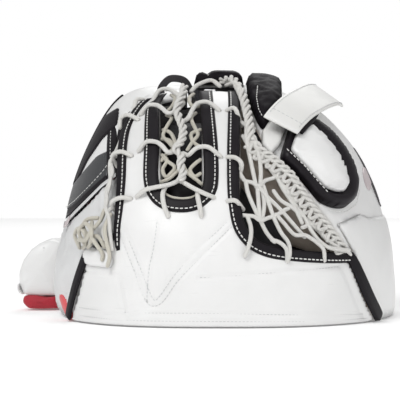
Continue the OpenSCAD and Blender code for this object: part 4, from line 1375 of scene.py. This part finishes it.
@dataclass
class WebT:
    """The double T web: quilted white leather, bindings with white stitches, and side seams."""

    shop: Workshop
    leather: float = 0.005
    outline: Tuple = ((-118, 0), (150, 0), (124, 61), (84, 67), (62, 70), (44, 77), (31, 92), (31, 112),
                      (32, 155), (33, 203), (-2, 208), (-3, 155), (-3, 121), (-5.6, 114.6), (-12, 112),
                      (-29, 112), (-35.4, 114.6), (-38, 121), (-38, 129), (-41, 190), (-38, 203),
                      (-50, 203), (-66, 191), (-77, 155), (-78, 76), (-96, 66), (-102, 60))
    seams: Tuple = (((-74, 82), (-62, 52), (-50, 22), (-38, 21), (-24, 40), (-5, 60), (24, 88)),
                    ((-70, 86), (-55, 50), (-45, 26), (-40, 26), (-26, 46), (-8, 66), (20, 92)),
                    ((-41, 92), (-44, 70), (-48, 50), (-50, 22)),
                    ((-5, 44), (12, 44.5), (60, 48), (117, 51.5)),
                    ((-110, 13.5), (-67, 12.5), (12, 12.8), (100, 10), (139, 8)),
                    ((-112, 6.5), (-67, 5.6), (12, 5.8), (100, 4.5), (144, 4)),
                    ((-104, 46), (-74, 45.5), (-73, 38), (-67, 8)),
                    ((117, 54), (122, 44), (132, 20), (139, 4)))

    def build_face(self) -> None:
        """The leather T with its quilting pressed in and sewn."""
        web = self.shop.web
        depths = (0.0011, 0.0009, 0.0007, 0.0013, 0.0008, 0.0008, 0.0014, 0.0014)
        channels = [Channel(smooth_path(np.c_[mm(s), np.zeros(len(s))], 0.002)[:, :2] if len(s) > 4
                            else mm(s), d, 0.0015) for s, d in zip(self.seams, depths)]
        face = Panel("web_leather", web.front, [mm(self.outline)], 0.0019, 0.0, self.leather,
                     roll=0.0028, channels=channels, waves=0.0005, wave_size=0.085)
        self.shop.finish(face.build(), WHITE, "web", "web_face", padded=0.5)
        # Painted shade: a black sheet a little behind the window stands in for the shade in the pocket behind
        # the centre laces.
        shade_sheet = Panel("web_painted_shade_sheet", web.front, [mm([[-45, 96], [5, 96], [5, 202], [-45, 202]])],
                        0.004, -0.0245, 0.0012, roll=0.001, waves=0.0008, wave_size=0.04)
        self.shop.finish(shade_sheet.build(), BINDING, "web")
        rows = []
        for seam, depth in zip(self.seams[:6], depths):
            line = smooth_path(np.c_[mm(seam), np.zeros(len(seam))], 0.002)[:, :2] / MM
            rows.append(self.shop.front_row(web, line, self.leather - depth + 0.0001, length=0.0021,
                                            gap=0.0013, width=0.0007))
        self.shop.finish(stitching("web_quilting", rows), TONAL, "web")

    def build_bindings(self) -> None:
        """The three black bindings, each with one row of white stitches, and the side seams."""
        web, top = self.shop.web, self.leather
        runs = {
            "left": [[-74, 66, 4], [-75, 82, 7], [-73.5, 100, 9], [-72, 125, 10], [-71.5, 155, 10.5],
                     [-68, 172, 10], [-59, 188, 9.5], [-50, 197, 8]],
            "center": [[-38, 201, 11], [-42, 196, 12], [-46, 186, 14], [-46, 155, 15], [-46.5, 130, 14.5],
                       [-43, 116, 13.5], [-34, 107.5, 12.5], [-20, 105, 12.5], [-7, 107.5, 12.5],
                       [3, 117, 13.5], [5.5, 130, 13.5], [5, 155, 13.5], [3, 180, 13], [1, 204, 12]],
            "right": [[26, 204, 10], [26.5, 190, 11], [25.5, 155, 11.5], [25, 130, 11], [26, 108, 11],
                      [30, 88, 11], [38, 76, 11], [48, 69, 11], [62, 64.5, 11], [84, 61.5, 10.5],
                      [108, 59.5, 10], [128, 58.5, 9]]}
        for side, rows in runs.items():
            band = Band(f"web_{side}_binding_leather", web.front, mm(rows), top + 0.0002, 0.0022,
                        cuts=11)
            self.shop.finish(band.build(), BINDING, "web", f"web_binding_{side}")
            self.shop.finish(stitching(f"web_{side}_binding_stitches",
                                       [band.row(-0.52, width=0.0011, length=0.0030, gap=0.0012)]),
                             THREAD, "web")
        for name, rows, node in (
                ("finger_seam_leather", [[124, 62, 10], [129, 55, 13], [136, 40, 15], [145, 20, 16],
                                         [152, 6, 16], [154, 1, 14]], "web_seam_finger"),
                ("thumb_seam_leather", [[-97, 66, 9], [-102, 60, 11], [-108, 44, 12], [-113, 28, 12],
                                        [-117, 12, 12], [-119, 1, 11]], "web_seam_thumb")):
            band = Band(name, web.front, mm(rows), top + 0.0002, 0.0028, cuts=11, floor=0.0005)
            self.shop.finish(band.build(), BINDING, "web", node)

    def build(self) -> None:
        """Builds the web and dresses the nodes under it."""
        self.build_face()
        self.build_bindings()
        self.shop.dyer.dress_node("web_stiffener", PLASTIC)
        self.shop.dyer.dress_node("web_backing", BLACK)


@dataclass
class Lacing:
    """Every lace of the pocket: loops over the bindings, the centre plait and the two nets."""

    shop: Workshop
    width: float = 0.0044
    high: float = 10.2
    loops: Tuple = (
        ((-80, 100), (-77, 105), (-70, 109.5), (-63, 110.5)),
        ((-58, 112), (-50, 116), (-42, 118.3), (-36, 119.5), (-29, 122), (-22, 127)),
        ((-80, 141), (-77, 144.5), (-70, 148), (-63, 147)),
        ((-57, 151), (-49, 156), (-41, 156), (-36, 153), (-31, 148.5), (-25, 152)),
        ((-74, 171), (-71, 176), (-65, 179), (-58, 178)),
        ((-56, 182), (-49, 186.5), (-41, 187), (-36, 184), (-31, 180), (-25, 184), (-19, 193)),
        ((-62, 187), (-58, 192), (-53, 195)),
        ((-46, 193), (-40, 199), (-32, 201), (-24, 198), (-19, 194)),
        ((-20, 126), (-10, 119), (0, 113.5), (8, 112)),
        ((20, 109), (27, 107.5), (34, 104)),
        ((-19, 150), (-14, 146.5), (-9, 149.5), (-4, 152), (4, 151.5), (14, 146.5)),
        ((20, 146), (27, 143), (32, 138), (31, 134)),
        ((-21, 176), (-14.5, 177.5), (-10.5, 183), (-6, 188.5), (3, 189.5), (13, 186)),
        ((20, 186), (27, 184), (33, 178)),
        ((-12, 204), (-6, 206.5), (6, 208.5), (14, 207)),
        ((20, 208), (27, 206), (32, 201), (34, 196)),
        ((-34, 121), (-35.5, 114), (-34, 104), (-31.5, 96)),
        ((-6, 118), (-6, 112), (-4, 102), (-3, 96)))

    def strap_loops(self) -> None:
        """Loops that rise from a hole, cross a binding and go behind its edge."""
        parts = []
        for loop in self.loops:
            rows = np.array(loop, float)
            high = np.full(len(rows), self.high)
            high[0] = high[-1] = 6.0
            for end, near in ((0, 1), (-1, -2)):
                if rows[end, 0] < -76 or 30.5 < rows[end, 0]:
                    high[end] = -1.0
                if -37 < rows[end, 0] < -2 and rows[end, 1] > 110:
                    high[end] = 4.5
                    high[near] = 8.0
            parts.append(self.shop.over(self.shop.web, np.c_[rows, high], self.width))
        self.shop.finish(cords("stem_lace_loops", parts), LACE, "web", "stem_laces")

    def centre(self) -> None:
        """The thick twisted plait down the window and the lattice behind it, in lace darkened as painted
        shade.
        """
        web = self.shop.web
        spine = np.array([[-18, 205, 8], [-19, 198, 8.5], [-24, 185, 9], [-22, 177, 9], [-18.5, 168, 8.5],
                          [-20, 158, 8.5], [-25, 151, 8.5], [-20, 146, 8.5], [-20.5, 138, 8],
                          [-18.5, 131, 7.5], [-21.5, 125, 7]])
        knots = smooth_path(spine * MM, 0.0015)
        along = np.linspace(0, 1, len(knots)) * 2 * math.pi * 5.5
        parts = []
        for phase in (0.0, 2.1, 4.2):
            rows = knots.copy()
            rows[:, 0] += 0.0022 * np.cos(along + phase)
            rows[:, 2] += 0.0020 * np.sin(along + phase)
            path = web.front(rows[:, :2], rows[:, 2])
            facing = unit(web.front(rows[:, :2], rows[:, 2] + 0.001) - path)
            parts.append((path, facing, 0.0036, 0.0031))
        lattice = [
            [[-34, 184, 3], [-29, 180, 5], [-33, 173, 5], [-37, 166, 3], [-32, 160, 4], [-25, 152, 6]],
            [[-8, 186, 3], [-12, 180, 5], [-9, 173, 4], [-6, 167, 3], [-11, 160, 4], [-15, 152, 6]],
            [[-37, 172, 2], [-30, 168, 3.5], [-26, 160, 4], [-24, 154, 5]],
            [[-38, 164, 2], [-31, 162, 2.5], [-28, 155, 3], [-35, 149, 3], [-38, 145, 2]],
            [[-4, 172, 2], [-12, 167, 4], [-10, 160, 4], [-4, 157, 2]],
            [[-38, 150, 2], [-33, 144, 4], [-37, 137, 3], [-34, 130, 4], [-29, 133, 5], [-26, 138, 5],
             [-32, 143, 4], [-36, 147, 2]],
            [[-4, 146, 2], [-9, 141, 4], [-13, 136, 4], [-9, 131, 3], [-4, 134, 2]],
            [[-38, 126, 3], [-31, 128, 5], [-25, 133, 5], [-21, 137, 6]],
            [[-3, 125, 2], [-9, 129, 4], [-15, 133, 5], [-19, 139, 6]],
            [[-30, 201, 4], [-26, 196, 6], [-29, 190, 5], [-34, 187, 3]],
            [[-10, 202, 4], [-14, 196, 6], [-11, 190, 5], [-5, 192, 3]],
            [[-37, 117, 2], [-30, 113, 3], [-20, 111.5, 3], [-10, 113, 3], [-4, 118, 2]]]
        self.shop.finish(cords("centre_plait", parts, 8), LACE, "web", "net_center")
        # Painted shade: the lattice behind the plait takes the darker copy of the lace.
        made = cords("centre_lattice", [self.shop.over(web, rows, 0.0036) for rows in lattice])
        self.shop.finish(made, DARKER_LACE, "web")

    def right_net(self) -> None:
        """The rope beside the stem, the open net and the crossed lacing along the finger edge."""
        web = self.shop.web
        rope = smooth_path(mm([[16, 210, 8], [25, 210, 10], [31, 203, 9], [35, 194, 8], [38, 181, 8],
                               [40, 170, 7], [41, 160, 6]]), 0.0015)
        along = np.linspace(0, 1, len(rope)) * 2 * math.pi * 4.2
        parts = []
        for phase in (0.0, 2.1, 4.2):
            rows = rope.copy()
            rows[:, 0] += 0.0026 * np.cos(along + phase)
            rows[:, 2] += 0.0020 * np.sin(along + phase)
            path = web.front(rows[:, :2], rows[:, 2])
            parts.append((path, unit(web.front(rows[:, :2], rows[:, 2] + 0.001) - path), 0.0038, 0.0033))
        net = [
            [[37, 172, 6], [37, 160, 6], [41, 140, 5], [45, 121, 5]],
            [[41, 166, 6], [47, 148, 6], [49, 134, 5], [48, 120, 5]],
            [[31, 134, 3], [35, 127, 4], [41, 125, 5], [47, 121, 7], [53, 127, 4], [61, 130, 3],
             [70, 137, 2]],
            [[36, 126, 4], [38, 116, 4], [43, 104, 4], [48, 93, 5], [54, 82, 4], [60, 74, 6]],
            [[46, 120, 5], [47, 107, 4], [48, 94, 5]],
            [[50, 120, 4], [52, 107, 3], [50, 94, 4]],
            [[31, 98, 3], [37, 97, 4], [43, 96, 5], [48, 92, 7], [55, 95, 4], [62, 97, 4], [70, 102, 3],
             [79, 106, 2]],
            [[37, 97, 4], [40, 87, 5], [39.5, 77, 8], [37, 68, 9], [34.5, 62, 7]],
            [[47, 121, 6], [54, 113, 5], [62, 106, 4], [70, 98, 3], [78, 88, 4], [86, 78, 5]],
            [[51, 122, 5], [57, 104, 4], [61, 93, 4], [66, 82, 5], [71, 73, 8], [72, 64, 9], [71, 57, 6.5]],
            [[58, 76, 5], [64, 73, 8], [69, 67, 9.5], [70.5, 58, 6.5]],
            [[62, 98, 4], [69, 90, 4], [77, 80, 6], [86, 79, 7], [95, 72, 9], [100, 66, 9.5],
             [102.5, 57, 6.5]],
            [[70, 118, 3], [78, 108, 3], [86, 96, 4], [91, 84, 6], [97, 74, 8], [104, 68, 9.5],
             [112, 66, 9.5], [121, 64, 9], [129, 58, 4]],
            [[57, 140, 3], [63, 130, 4], [68, 120, 4], [75, 110, 3], [80, 100, 4], [84, 90, 5]],
            [[46, 152, 4], [55, 140, 4], [64, 128, 4], [72, 118, 4], [82, 108, 3]],
            [[44, 160, 5], [50, 150, 4], [58, 146, 3], [66, 140, 3]],
            [[60, 118, 4], [66, 110, 4], [74, 105, 4], [84, 97, 4], [92, 90, 4], [100, 84, 4]],
            [[84, 86, 5], [92, 88, 4], [100, 82, 4], [106, 74, 6], [113, 68, 8]],
            [[34, 166, 3], [38, 158, 5], [44, 156, 5], [49, 150, 3]],
            [[33, 178, 3], [38, 172, 6], [44, 172, 4]]]
        made = cords("right_net", [self.shop.over(web, rows, 0.0039) for rows in net])
        self.shop.finish(made, LACE, "web", "net_right")
        self.shop.finish(cords("right_rope", parts, 8), LACE, "web")
        edge = even_path(mm([[45, 163], [51, 154], [62, 147], [77, 133], [94, 108], [111, 86], [125, 66]]),
                         0.0062, 2)
        inward = np.array([-0.75, -0.66])
        lacing = []
        for phase, lift in ((0, 0.0046), (1, 0.0030)):
            swing = np.where((np.arange(len(edge)) + phase) % 2 == 0, 0.0006, 0.0125)[:, None]
            rise = lift + 0.0022 * ((np.arange(len(edge)) + phase) % 2)
            lacing.append(np.c_[edge + inward * swing, rise] / MM)
        for phase in (0, 1, 2):
            turn = np.arange(len(edge)) * 2.2 + phase * 2.1
            lacing.append(np.c_[edge + inward * (0.003 + 0.0026 * np.cos(turn))[:, None],
                                0.0052 + 0.0022 * np.sin(turn)] / MM)
        made = cords("finger_edge_plait", [self.shop.over(web, rows, 0.0036) for rows in lacing])
        self.shop.finish(made, LACE, "web", "finger_edge_lacing")

    def left_net(self) -> None:
        """Two laces twisted loosely down between the T and the thumb."""
        web = self.shop.web
        rows = [
            [[-72, 172, 2], [-77, 160, 1], [-79, 147, 5], [-80.5, 140, 6], [-78.5, 132, 7],
             [-81.5, 124, 6], [-83.5, 116, 7], [-82, 108, 8], [-84.5, 98, 8], [-86, 90, 10]],
            [[-76, 148, 4], [-79.5, 142, 8], [-81.5, 134, 6], [-79.5, 126, 8], [-81, 117, 8],
             [-84.5, 110, 6], [-82, 100, 9], [-79, 92, 10], [-78, 80, 10], [-77, 66, 9]],
            [[-78, 104, 5], [-81, 98, 8], [-80, 90, 9], [-83, 82, 11], [-81, 74, 12]]]
        made = cords("left_lacing", [self.shop.over(web, r, 0.0040) for r in rows])
        self.shop.finish(made, LACE, "web", "net_left")

    def build(self) -> None:
        """Builds all the laces."""
        self.strap_loops()
        self.centre()
        self.right_net()
        self.left_net()


@dataclass
class Cuff:
    """The flared cuff: a padded white roll, double piping and a red lining under it."""

    shop: Workshop
    start: float = 134.0
    end: float = 175.0
    steps: int = 64

    def sweep(self, name: str, section: Sequence, ease: float = 0.002) -> bpy.types.Object:
        """Carries a closed section round the rim.

        Each ring stands on the rim at a bearing, points along the dome's outward slope, and its
        reach grows from half to whole along the cuff. The two ends are closed with domes.

        Args:
            name: piece name. section: millimetres [out, up]. ease: corner radius.

        Returns:
            The closed piece.
        """
        web = self.shop.web
        loop = rounded_loop(mm(section), ease, 0.0015)
        t = np.linspace(0, 1, self.steps)
        bearing = np.radians(self.start + (self.end - self.start) * t)
        c, s = np.cos(bearing), np.sin(bearing)
        u = np.sign(c) * np.abs(c) ** (2 / web.thumb_square)
        v = np.sign(s) * np.abs(s) ** (2 / web.plan_square)
        foot = web.raised(u, v, 0 * u, 0 * u)
        out = unit(web.raised(u, v, 0 * u, 0 * u + 0.001) - foot)
        reach = 0.5 + 0.5 * t
        edge = np.sqrt(np.clip(1 - (1 - np.clip(np.minimum(t, 1 - t) / 0.06, 0, 1)) ** 2, 0, 1))
        middle = loop.mean(0)
        form = middle + (loop - middle)[None] * (0.04 + 0.96 * edge)[:, None, None]
        far = 0.0008 + (form[..., 0] - 0.004) * reach[:, None]
        points = foot[:, None] + out[:, None] * far[..., None]
        points[..., 2] = form[..., 1]
        n, m = points.shape[:2]
        quads, fans = sleeve(n, m)
        flat = points.reshape(-1, 3)
        rim = np.repeat(1 - edge, m)
        return turned_out(object_from(name, flat, quads, fans, flat[:, [0, 2]], rim))

    def build(self) -> None:
        """Builds the cuff's roll, its red lining, its edge piping and the arched piping on it."""
        roll = self.sweep("cuff_roll", [[4, 63.5], [14, 66], [24, 63], [33, 56.5], [40, 47.5], [44, 36],
                                        [44, 25], [40, 15.2], [30, 14.2], [8, 14.2], [4, 30]], 0.004)
        self.shop.finish(pumped(roll, 0.003), WHITE, "cuff", "cuff_shell", "cuff_foam", padded=0.8)
        lining = self.sweep("cuff_red_lining", [[6, 1.5], [22, 0.8], [36, 1], [42, 7], [40.5, 13.5],
                                                [30, 14.5], [18, 12], [8, 13]], 0.003)
        self.shop.finish(lining, RED, "cuff", "cuff_lining", padded=0.5)
        piping = self.sweep("cuff_edge_piping", [[40, 14.6], [44, 14.6], [46.5, 20], [46.4, 25], [44.6, 26],
                                                 [44.0, 20]], 0.001)
        self.shop.finish(piping, WHITE, "cuff", "cuff_binding")
        web, cords_made = self.shop.web, []
        for inset in (5.0, 8.0):
            arch = smooth_path(np.array([[148, 44.6, 20], [152, 44.8, 34],
                                         [156, 42.6 - inset / 8, 50 - inset],
                                         [163, 36, 58.5 - inset], [170, 28, 62.5 - inset],
                                         [174.2, 20, 64.5 - inset]], float), 1.0)
            bearing = np.radians(arch[:, 0])
            u = -np.abs(np.cos(bearing)) ** (2 / web.thumb_square)
            v = np.abs(np.sin(bearing)) ** (2 / web.plan_square)
            foot = web.raised(u, v, 0 * u, 0 * u)
            out = unit(web.raised(u, v, 0 * u, 0 * u + 0.001) - foot)
            t = (arch[:, 0] - self.start) / (self.end - self.start)
            path = foot + out * (0.0008 + (arch[:, 1] * MM - 0.004) * (0.5 + 0.5 * t))[:, None]
            path[:, 2] = arch[:, 2] * MM
            cords_made.append((path, out, 0.0014, 0.0014))
        self.shop.finish(cords("cuff_arch_piping", cords_made, 6), PALE, "cuff")


@dataclass
class Backhand:
    """The two black pads over the back of the hand."""

    shop: Workshop
    height: float = 0.011

    def build(self) -> None:
        """Builds the index pad, the finger pad and their curved white seams."""
        web = self.shop.web
        index = rounded_loop(mm([[-10, -4], [36, -4], [37, 60], [34, 118], [-8, 118], [-10, 60]]), 0.007,
                             0.002)
        pad = Panel("index_backhand_pad", web.top, [index], 0.0028, 0.001, self.height - 0.0012,
                    roll=0.008, puff=0.001, reach=0.012,
                    channels=[Channel(mm([[4, -8], [2, 30], [4, 122]]), 0.0026, 0.0028),
                              Channel(mm([[-12, 56], [38, 56]]), 0.0022, 0.003)])
        self.shop.finish(pumped(pad.build(), 0.0035), PAD_BLACK, "backhand", "backhand_pad_index",
                         padded=0.85)
        front = even_path(mm([[38.6, 203], [42, 191], [46.5, 180], [51.5, 171], [57, 177], [70, 191]]),
                          0.003, 2)
        chart = web.chart_front(front)
        behind = web.chart_top(even_path(mm([[72, 20], [72, 112], [40, 112], [38.6, 20]]), 0.003, 2))
        loop = np.concatenate([chart, behind])
        side = Channel(web.chart_front(even_path(mm([[46, 202], [44.5, 192], [46, 182]]), 0.003, 2)),
                       0.002, 0.002)
        rest = [Channel(web.chart_top(mm([[40, y], [70, y]])), 0.0022, 0.003) for y in (20, 66)]
        middle = Panel("middle_backhand_pad", web.spread, [rounded_loop(loop, 0.035, 0.012)], 0.011, 0.001,
                       self.height - 0.0012, roll=0.007, puff=0.001, reach=0.012, channels=[side, *rest])
        self.shop.finish(pumped(middle.build(), 0.0035), PAD_BLACK, "backhand", "backhand_pad_middle",
                         padded=0.85)
        path = even_path(mm([[3.5, -2], [2, 30], [3.5, 112]]), 0.002, 2)
        low = web.top(path, np.full(len(path), self.height - 0.0018))
        up = unit(web.top(path, np.full(len(path), self.height)) - low)
        rows = [Row(low, up), self.shop.front_row(web, [[47, 203], [45.6, 193], [47, 183], [50, 177]],
                                                  self.height + 0.0002)]
        self.shop.finish(stitching("backhand_stitches", rows), THREAD, "backhand")


@dataclass
class Straps:
    """The hand strap folded over the pad, the wrist strap and the pull loop."""

    shop: Workshop
    width: float = 0.035
    thick: float = 0.003

    def belt(self, name: str, path: Array, facing: Array, width: Array, thick: float
             ) -> bpy.types.Object:
        """A flat strap with rolled edges: a flattened oval carried along a path."""
        turn = np.linspace(0, 2 * math.pi, 28, endpoint=False)
        tangent = unit(np.gradient(path, axis=0))
        side = unit(np.cross(facing, tangent))
        up = np.cross(tangent, side)
        wide = np.sign(np.cos(turn)) * np.abs(np.cos(turn)) ** 0.35
        tall = np.sign(np.sin(turn)) * np.abs(np.sin(turn)) ** 0.6
        taper = np.ones(len(path))
        taper[0] = taper[-1] = 0.6
        points = (path[:, None] + side[:, None] * (width[:, None] / 2 * wide)[..., None]
                  + up[:, None] * (taper[:, None] * thick / 2 * tall)[..., None])
        n, m = points.shape[:2]
        quads, fans = sleeve(n, m)
        along = np.concatenate([[0], np.cumsum(np.linalg.norm(np.diff(path, axis=0), axis=1))])
        sheet = np.stack([np.tile(wide, n) * np.repeat(width, m) / 2, np.repeat(along, m)], -1)
        rim = np.tile(np.abs(wide) ** 6, n)
        return turned_out(object_from(name, points.reshape(-1, 3), quads, fans, sheet, rim))

    def hand_strap(self) -> None:
        """The white strap over the knuckles, with its turned end and black tab."""
        web, off = self.shop.web, 0.0170
        plan = mm([[63.5, -116.5], [76, -91], [88.5, -63], [98.5, -31], [105, 3], [107, 31]])
        knots = smooth_path(np.c_[plan, [off] * len(plan)], 0.003)
        path = web.top(knots[:, :2], knots[:, 2])
        facing = unit(web.top(knots[:, :2], knots[:, 2] + 0.001) - path)
        width = np.full(len(path), self.width)
        strap = self.belt("hand_strap_leather", path, facing, width, self.thick)
        self.shop.finish(strap, STRAP, "hand_strap", "hand_strap")
        ride = path + facing * 0.0016
        side = unit(np.cross(facing, np.gradient(path, axis=0)))
        rows = [Row((ride + side * s * 0.015)[2:-2], facing[2:-2], width=0.0007) for s in (-1, 1)]
        rows.append(Row(np.stack([ride[4] - side[4] * 0.016, ride[4] + side[4] * 0.016]),
                        facing[[4, 4]], width=0.0007))
        self.shop.finish(stitching("hand_strap_stitches", rows), TONAL, "hand_strap")
        tab = Band("hand_strap_tab", web.front, mm([[80, 160, 4], [86, 168, 7], [91, 175, 9], [94, 181, 9]]),
                   0.0152, 0.0016)
        self.shop.finish(tab.build(), BINDING, "hand_strap")
        self.shop.dyer.dress_node("hand_strap_hook", HOOK)

    def wrist_strap(self) -> None:
        """The white strap across the heel."""
        web, off = self.shop.web, 0.0165
        xs = np.linspace(-0.004, 0.140, 56)
        flat = np.c_[xs, np.full(len(xs), 0.049)]
        path = web.heel(flat, np.full(len(xs), off))
        facing = unit(web.heel(flat, np.full(len(xs), off + 0.001)) - path)
        strap = self.belt("wrist_strap_leather", path, facing, np.full(len(xs), self.width), self.thick)
        self.shop.finish(strap, STRAP, "wrist_strap", "wrist_strap")
        side = unit(np.cross(facing, np.gradient(path, axis=0)))
        rows = [Row((path + facing * 0.0016 + side * s * 0.015)[2:-2], facing[2:-2], width=0.0007)
                for s in (-1, 1)]
        self.shop.finish(stitching("wrist_strap_stitches", rows), TONAL, "wrist_strap")
        self.shop.dyer.dress_node("wrist_strap_hook", HOOK)

    def pull_loop(self) -> None:
        """The black webbing loop on the crown, a band bent into an arch."""
        low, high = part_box("pull_loop")
        rows = np.array([[low[0] + 0.004, -0.0165, low[2] + 0.001], [low[0] + 0.002, -0.017, high[2] - 0.012],
                         [low[0] + 0.009, -0.0175, high[2] - 0.003],
                         [low[0] + 0.018, -0.018, high[2] - 0.002],
                         [high[0] - 0.007, -0.0175, high[2] - 0.005],
                         [high[0] - 0.002, -0.017, high[2] - 0.014],
                         [high[0] - 0.001, -0.0165, low[2] + 0.003]])
        path = smooth_path(rows, 0.0015)
        facing = np.tile(unit(np.array([[0.12, -1.0, 0.25]])), (len(path), 1))
        loop = self.belt("pull_loop_webbing", path, facing, np.full(len(path), 0.0068), 0.0018)
        self.shop.finish(loop, WEBBING, "pull_loop", "pull_loop")

    def build(self) -> None:
        """Builds the two straps and the loop."""
        self.hand_strap()
        self.wrist_strap()
        self.pull_loop()


@dataclass
class Studio:
    """A plain pale floor, soft lights and the camera."""

    aim: Tuple[float, float, float] = (-0.0044, -0.182, 0.1126)
    distance: float = 2.8
    elevation: float = 2.0
    lens: float = 286.0

    def lamp(self, name: str, place: Sequence[float], power: float, size: float) -> None:
        """A square area light that faces the glove."""
        light = bpy.data.lights.new(name, "AREA")
        light.energy, light.size = power, size
        holder = bpy.data.objects.new(name, light)
        holder.location = place
        toward = Vector((0.0, -0.05, 0.1)) - Vector(place)
        holder.rotation_euler = toward.to_track_quat("-Z", "Y").to_euler()
        bpy.context.scene.collection.objects.link(holder)

    def build(self) -> None:
        """Builds the floor, lights, world and camera."""
        scene = bpy.context.scene
        points = np.array([[-2.2, -3.0, -0.0006], [2.2, -3.0, -0.0006],
                           [2.2, 2.2, -0.0006], [-2.2, 2.2, -0.0006]])
        floor = object_from("studio_floor", points, np.array([[0, 1, 2, 3]]))
        paint = bpy.data.materials.new("studio_floor")
        paint.use_nodes = True
        for name, value in (("Base Color", (0.95, 0.95, 0.95, 1)), ("Emission Color", (1, 1, 1, 1)),
                            ("Emission Strength", 0.16), ("Roughness", 0.9)):
            paint.node_tree.nodes["Principled BSDF"].inputs[name].default_value = value
        floor.data.materials.append(paint)
        world = bpy.data.worlds.new("studio")
        scene.world = world
        world.use_nodes = True
        w = Wiring(world.node_tree)
        soft = world.node_tree.nodes["Background"]
        soft.inputs[0].default_value, soft.inputs[1].default_value = (1.0, 1.0, 1.0, 1.0), 0.42
        bright = w.add("ShaderNodeBackground", Color=(1.0, 1.0, 1.0, 1.0), Strength=1.0)
        seen = w.add("ShaderNodeLightPath")
        both = w.add("ShaderNodeMixShader")
        w.tree.links.new(seen.outputs["Is Camera Ray"], both.inputs[0])
        w.tree.links.new(soft.outputs[0], both.inputs[1])
        w.tree.links.new(bright.outputs[0], both.inputs[2])
        w.tree.links.new(both.outputs[0], world.node_tree.nodes["World Output"].inputs[0])
        self.lamp("key_light", (-1.0, -1.5, 1.9), 31.0, 1.0)
        self.lamp("fill_light", (1.6, -1.4, 0.9), 9.0, 1.2)
        self.lamp("back_light", (0.3, 1.9, 1.6), 18.0, 1.2)
        rise = math.radians(self.elevation)
        away = Vector((0.0, -math.cos(rise), math.sin(rise)))
        lens = bpy.data.cameras.new("camera")
        lens.lens, lens.sensor_width = self.lens, 36.0
        lens.clip_start, lens.clip_end = 0.05, 60.0
        camera = bpy.data.objects.new("camera", lens)
        camera.location = Vector(self.aim) + away * self.distance
        camera.rotation_euler = (-away).to_track_quat("-Z", "Y").to_euler()
        scene.collection.objects.link(camera)
        scene.camera = camera
        scene.view_settings.view_transform = "Standard"


def main() -> None:
    """Builds the glove over its frame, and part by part."""
    logging.basicConfig(level=logging.INFO, format="%(name)s: %(message)s")
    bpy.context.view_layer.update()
    web, thumb = read_domes()
    shop = Workshop(web, thumb, Dyer())
    Studio().build()
    for part in (FingerSide(shop), ThumbSide(shop), WebT(shop), Lacing(shop), Cuff(shop),
                 Backhand(shop), Straps(shop)):
        part.build()
        log.info("%s is built", type(part).__name__)


if __name__ == "__main__":
    main()
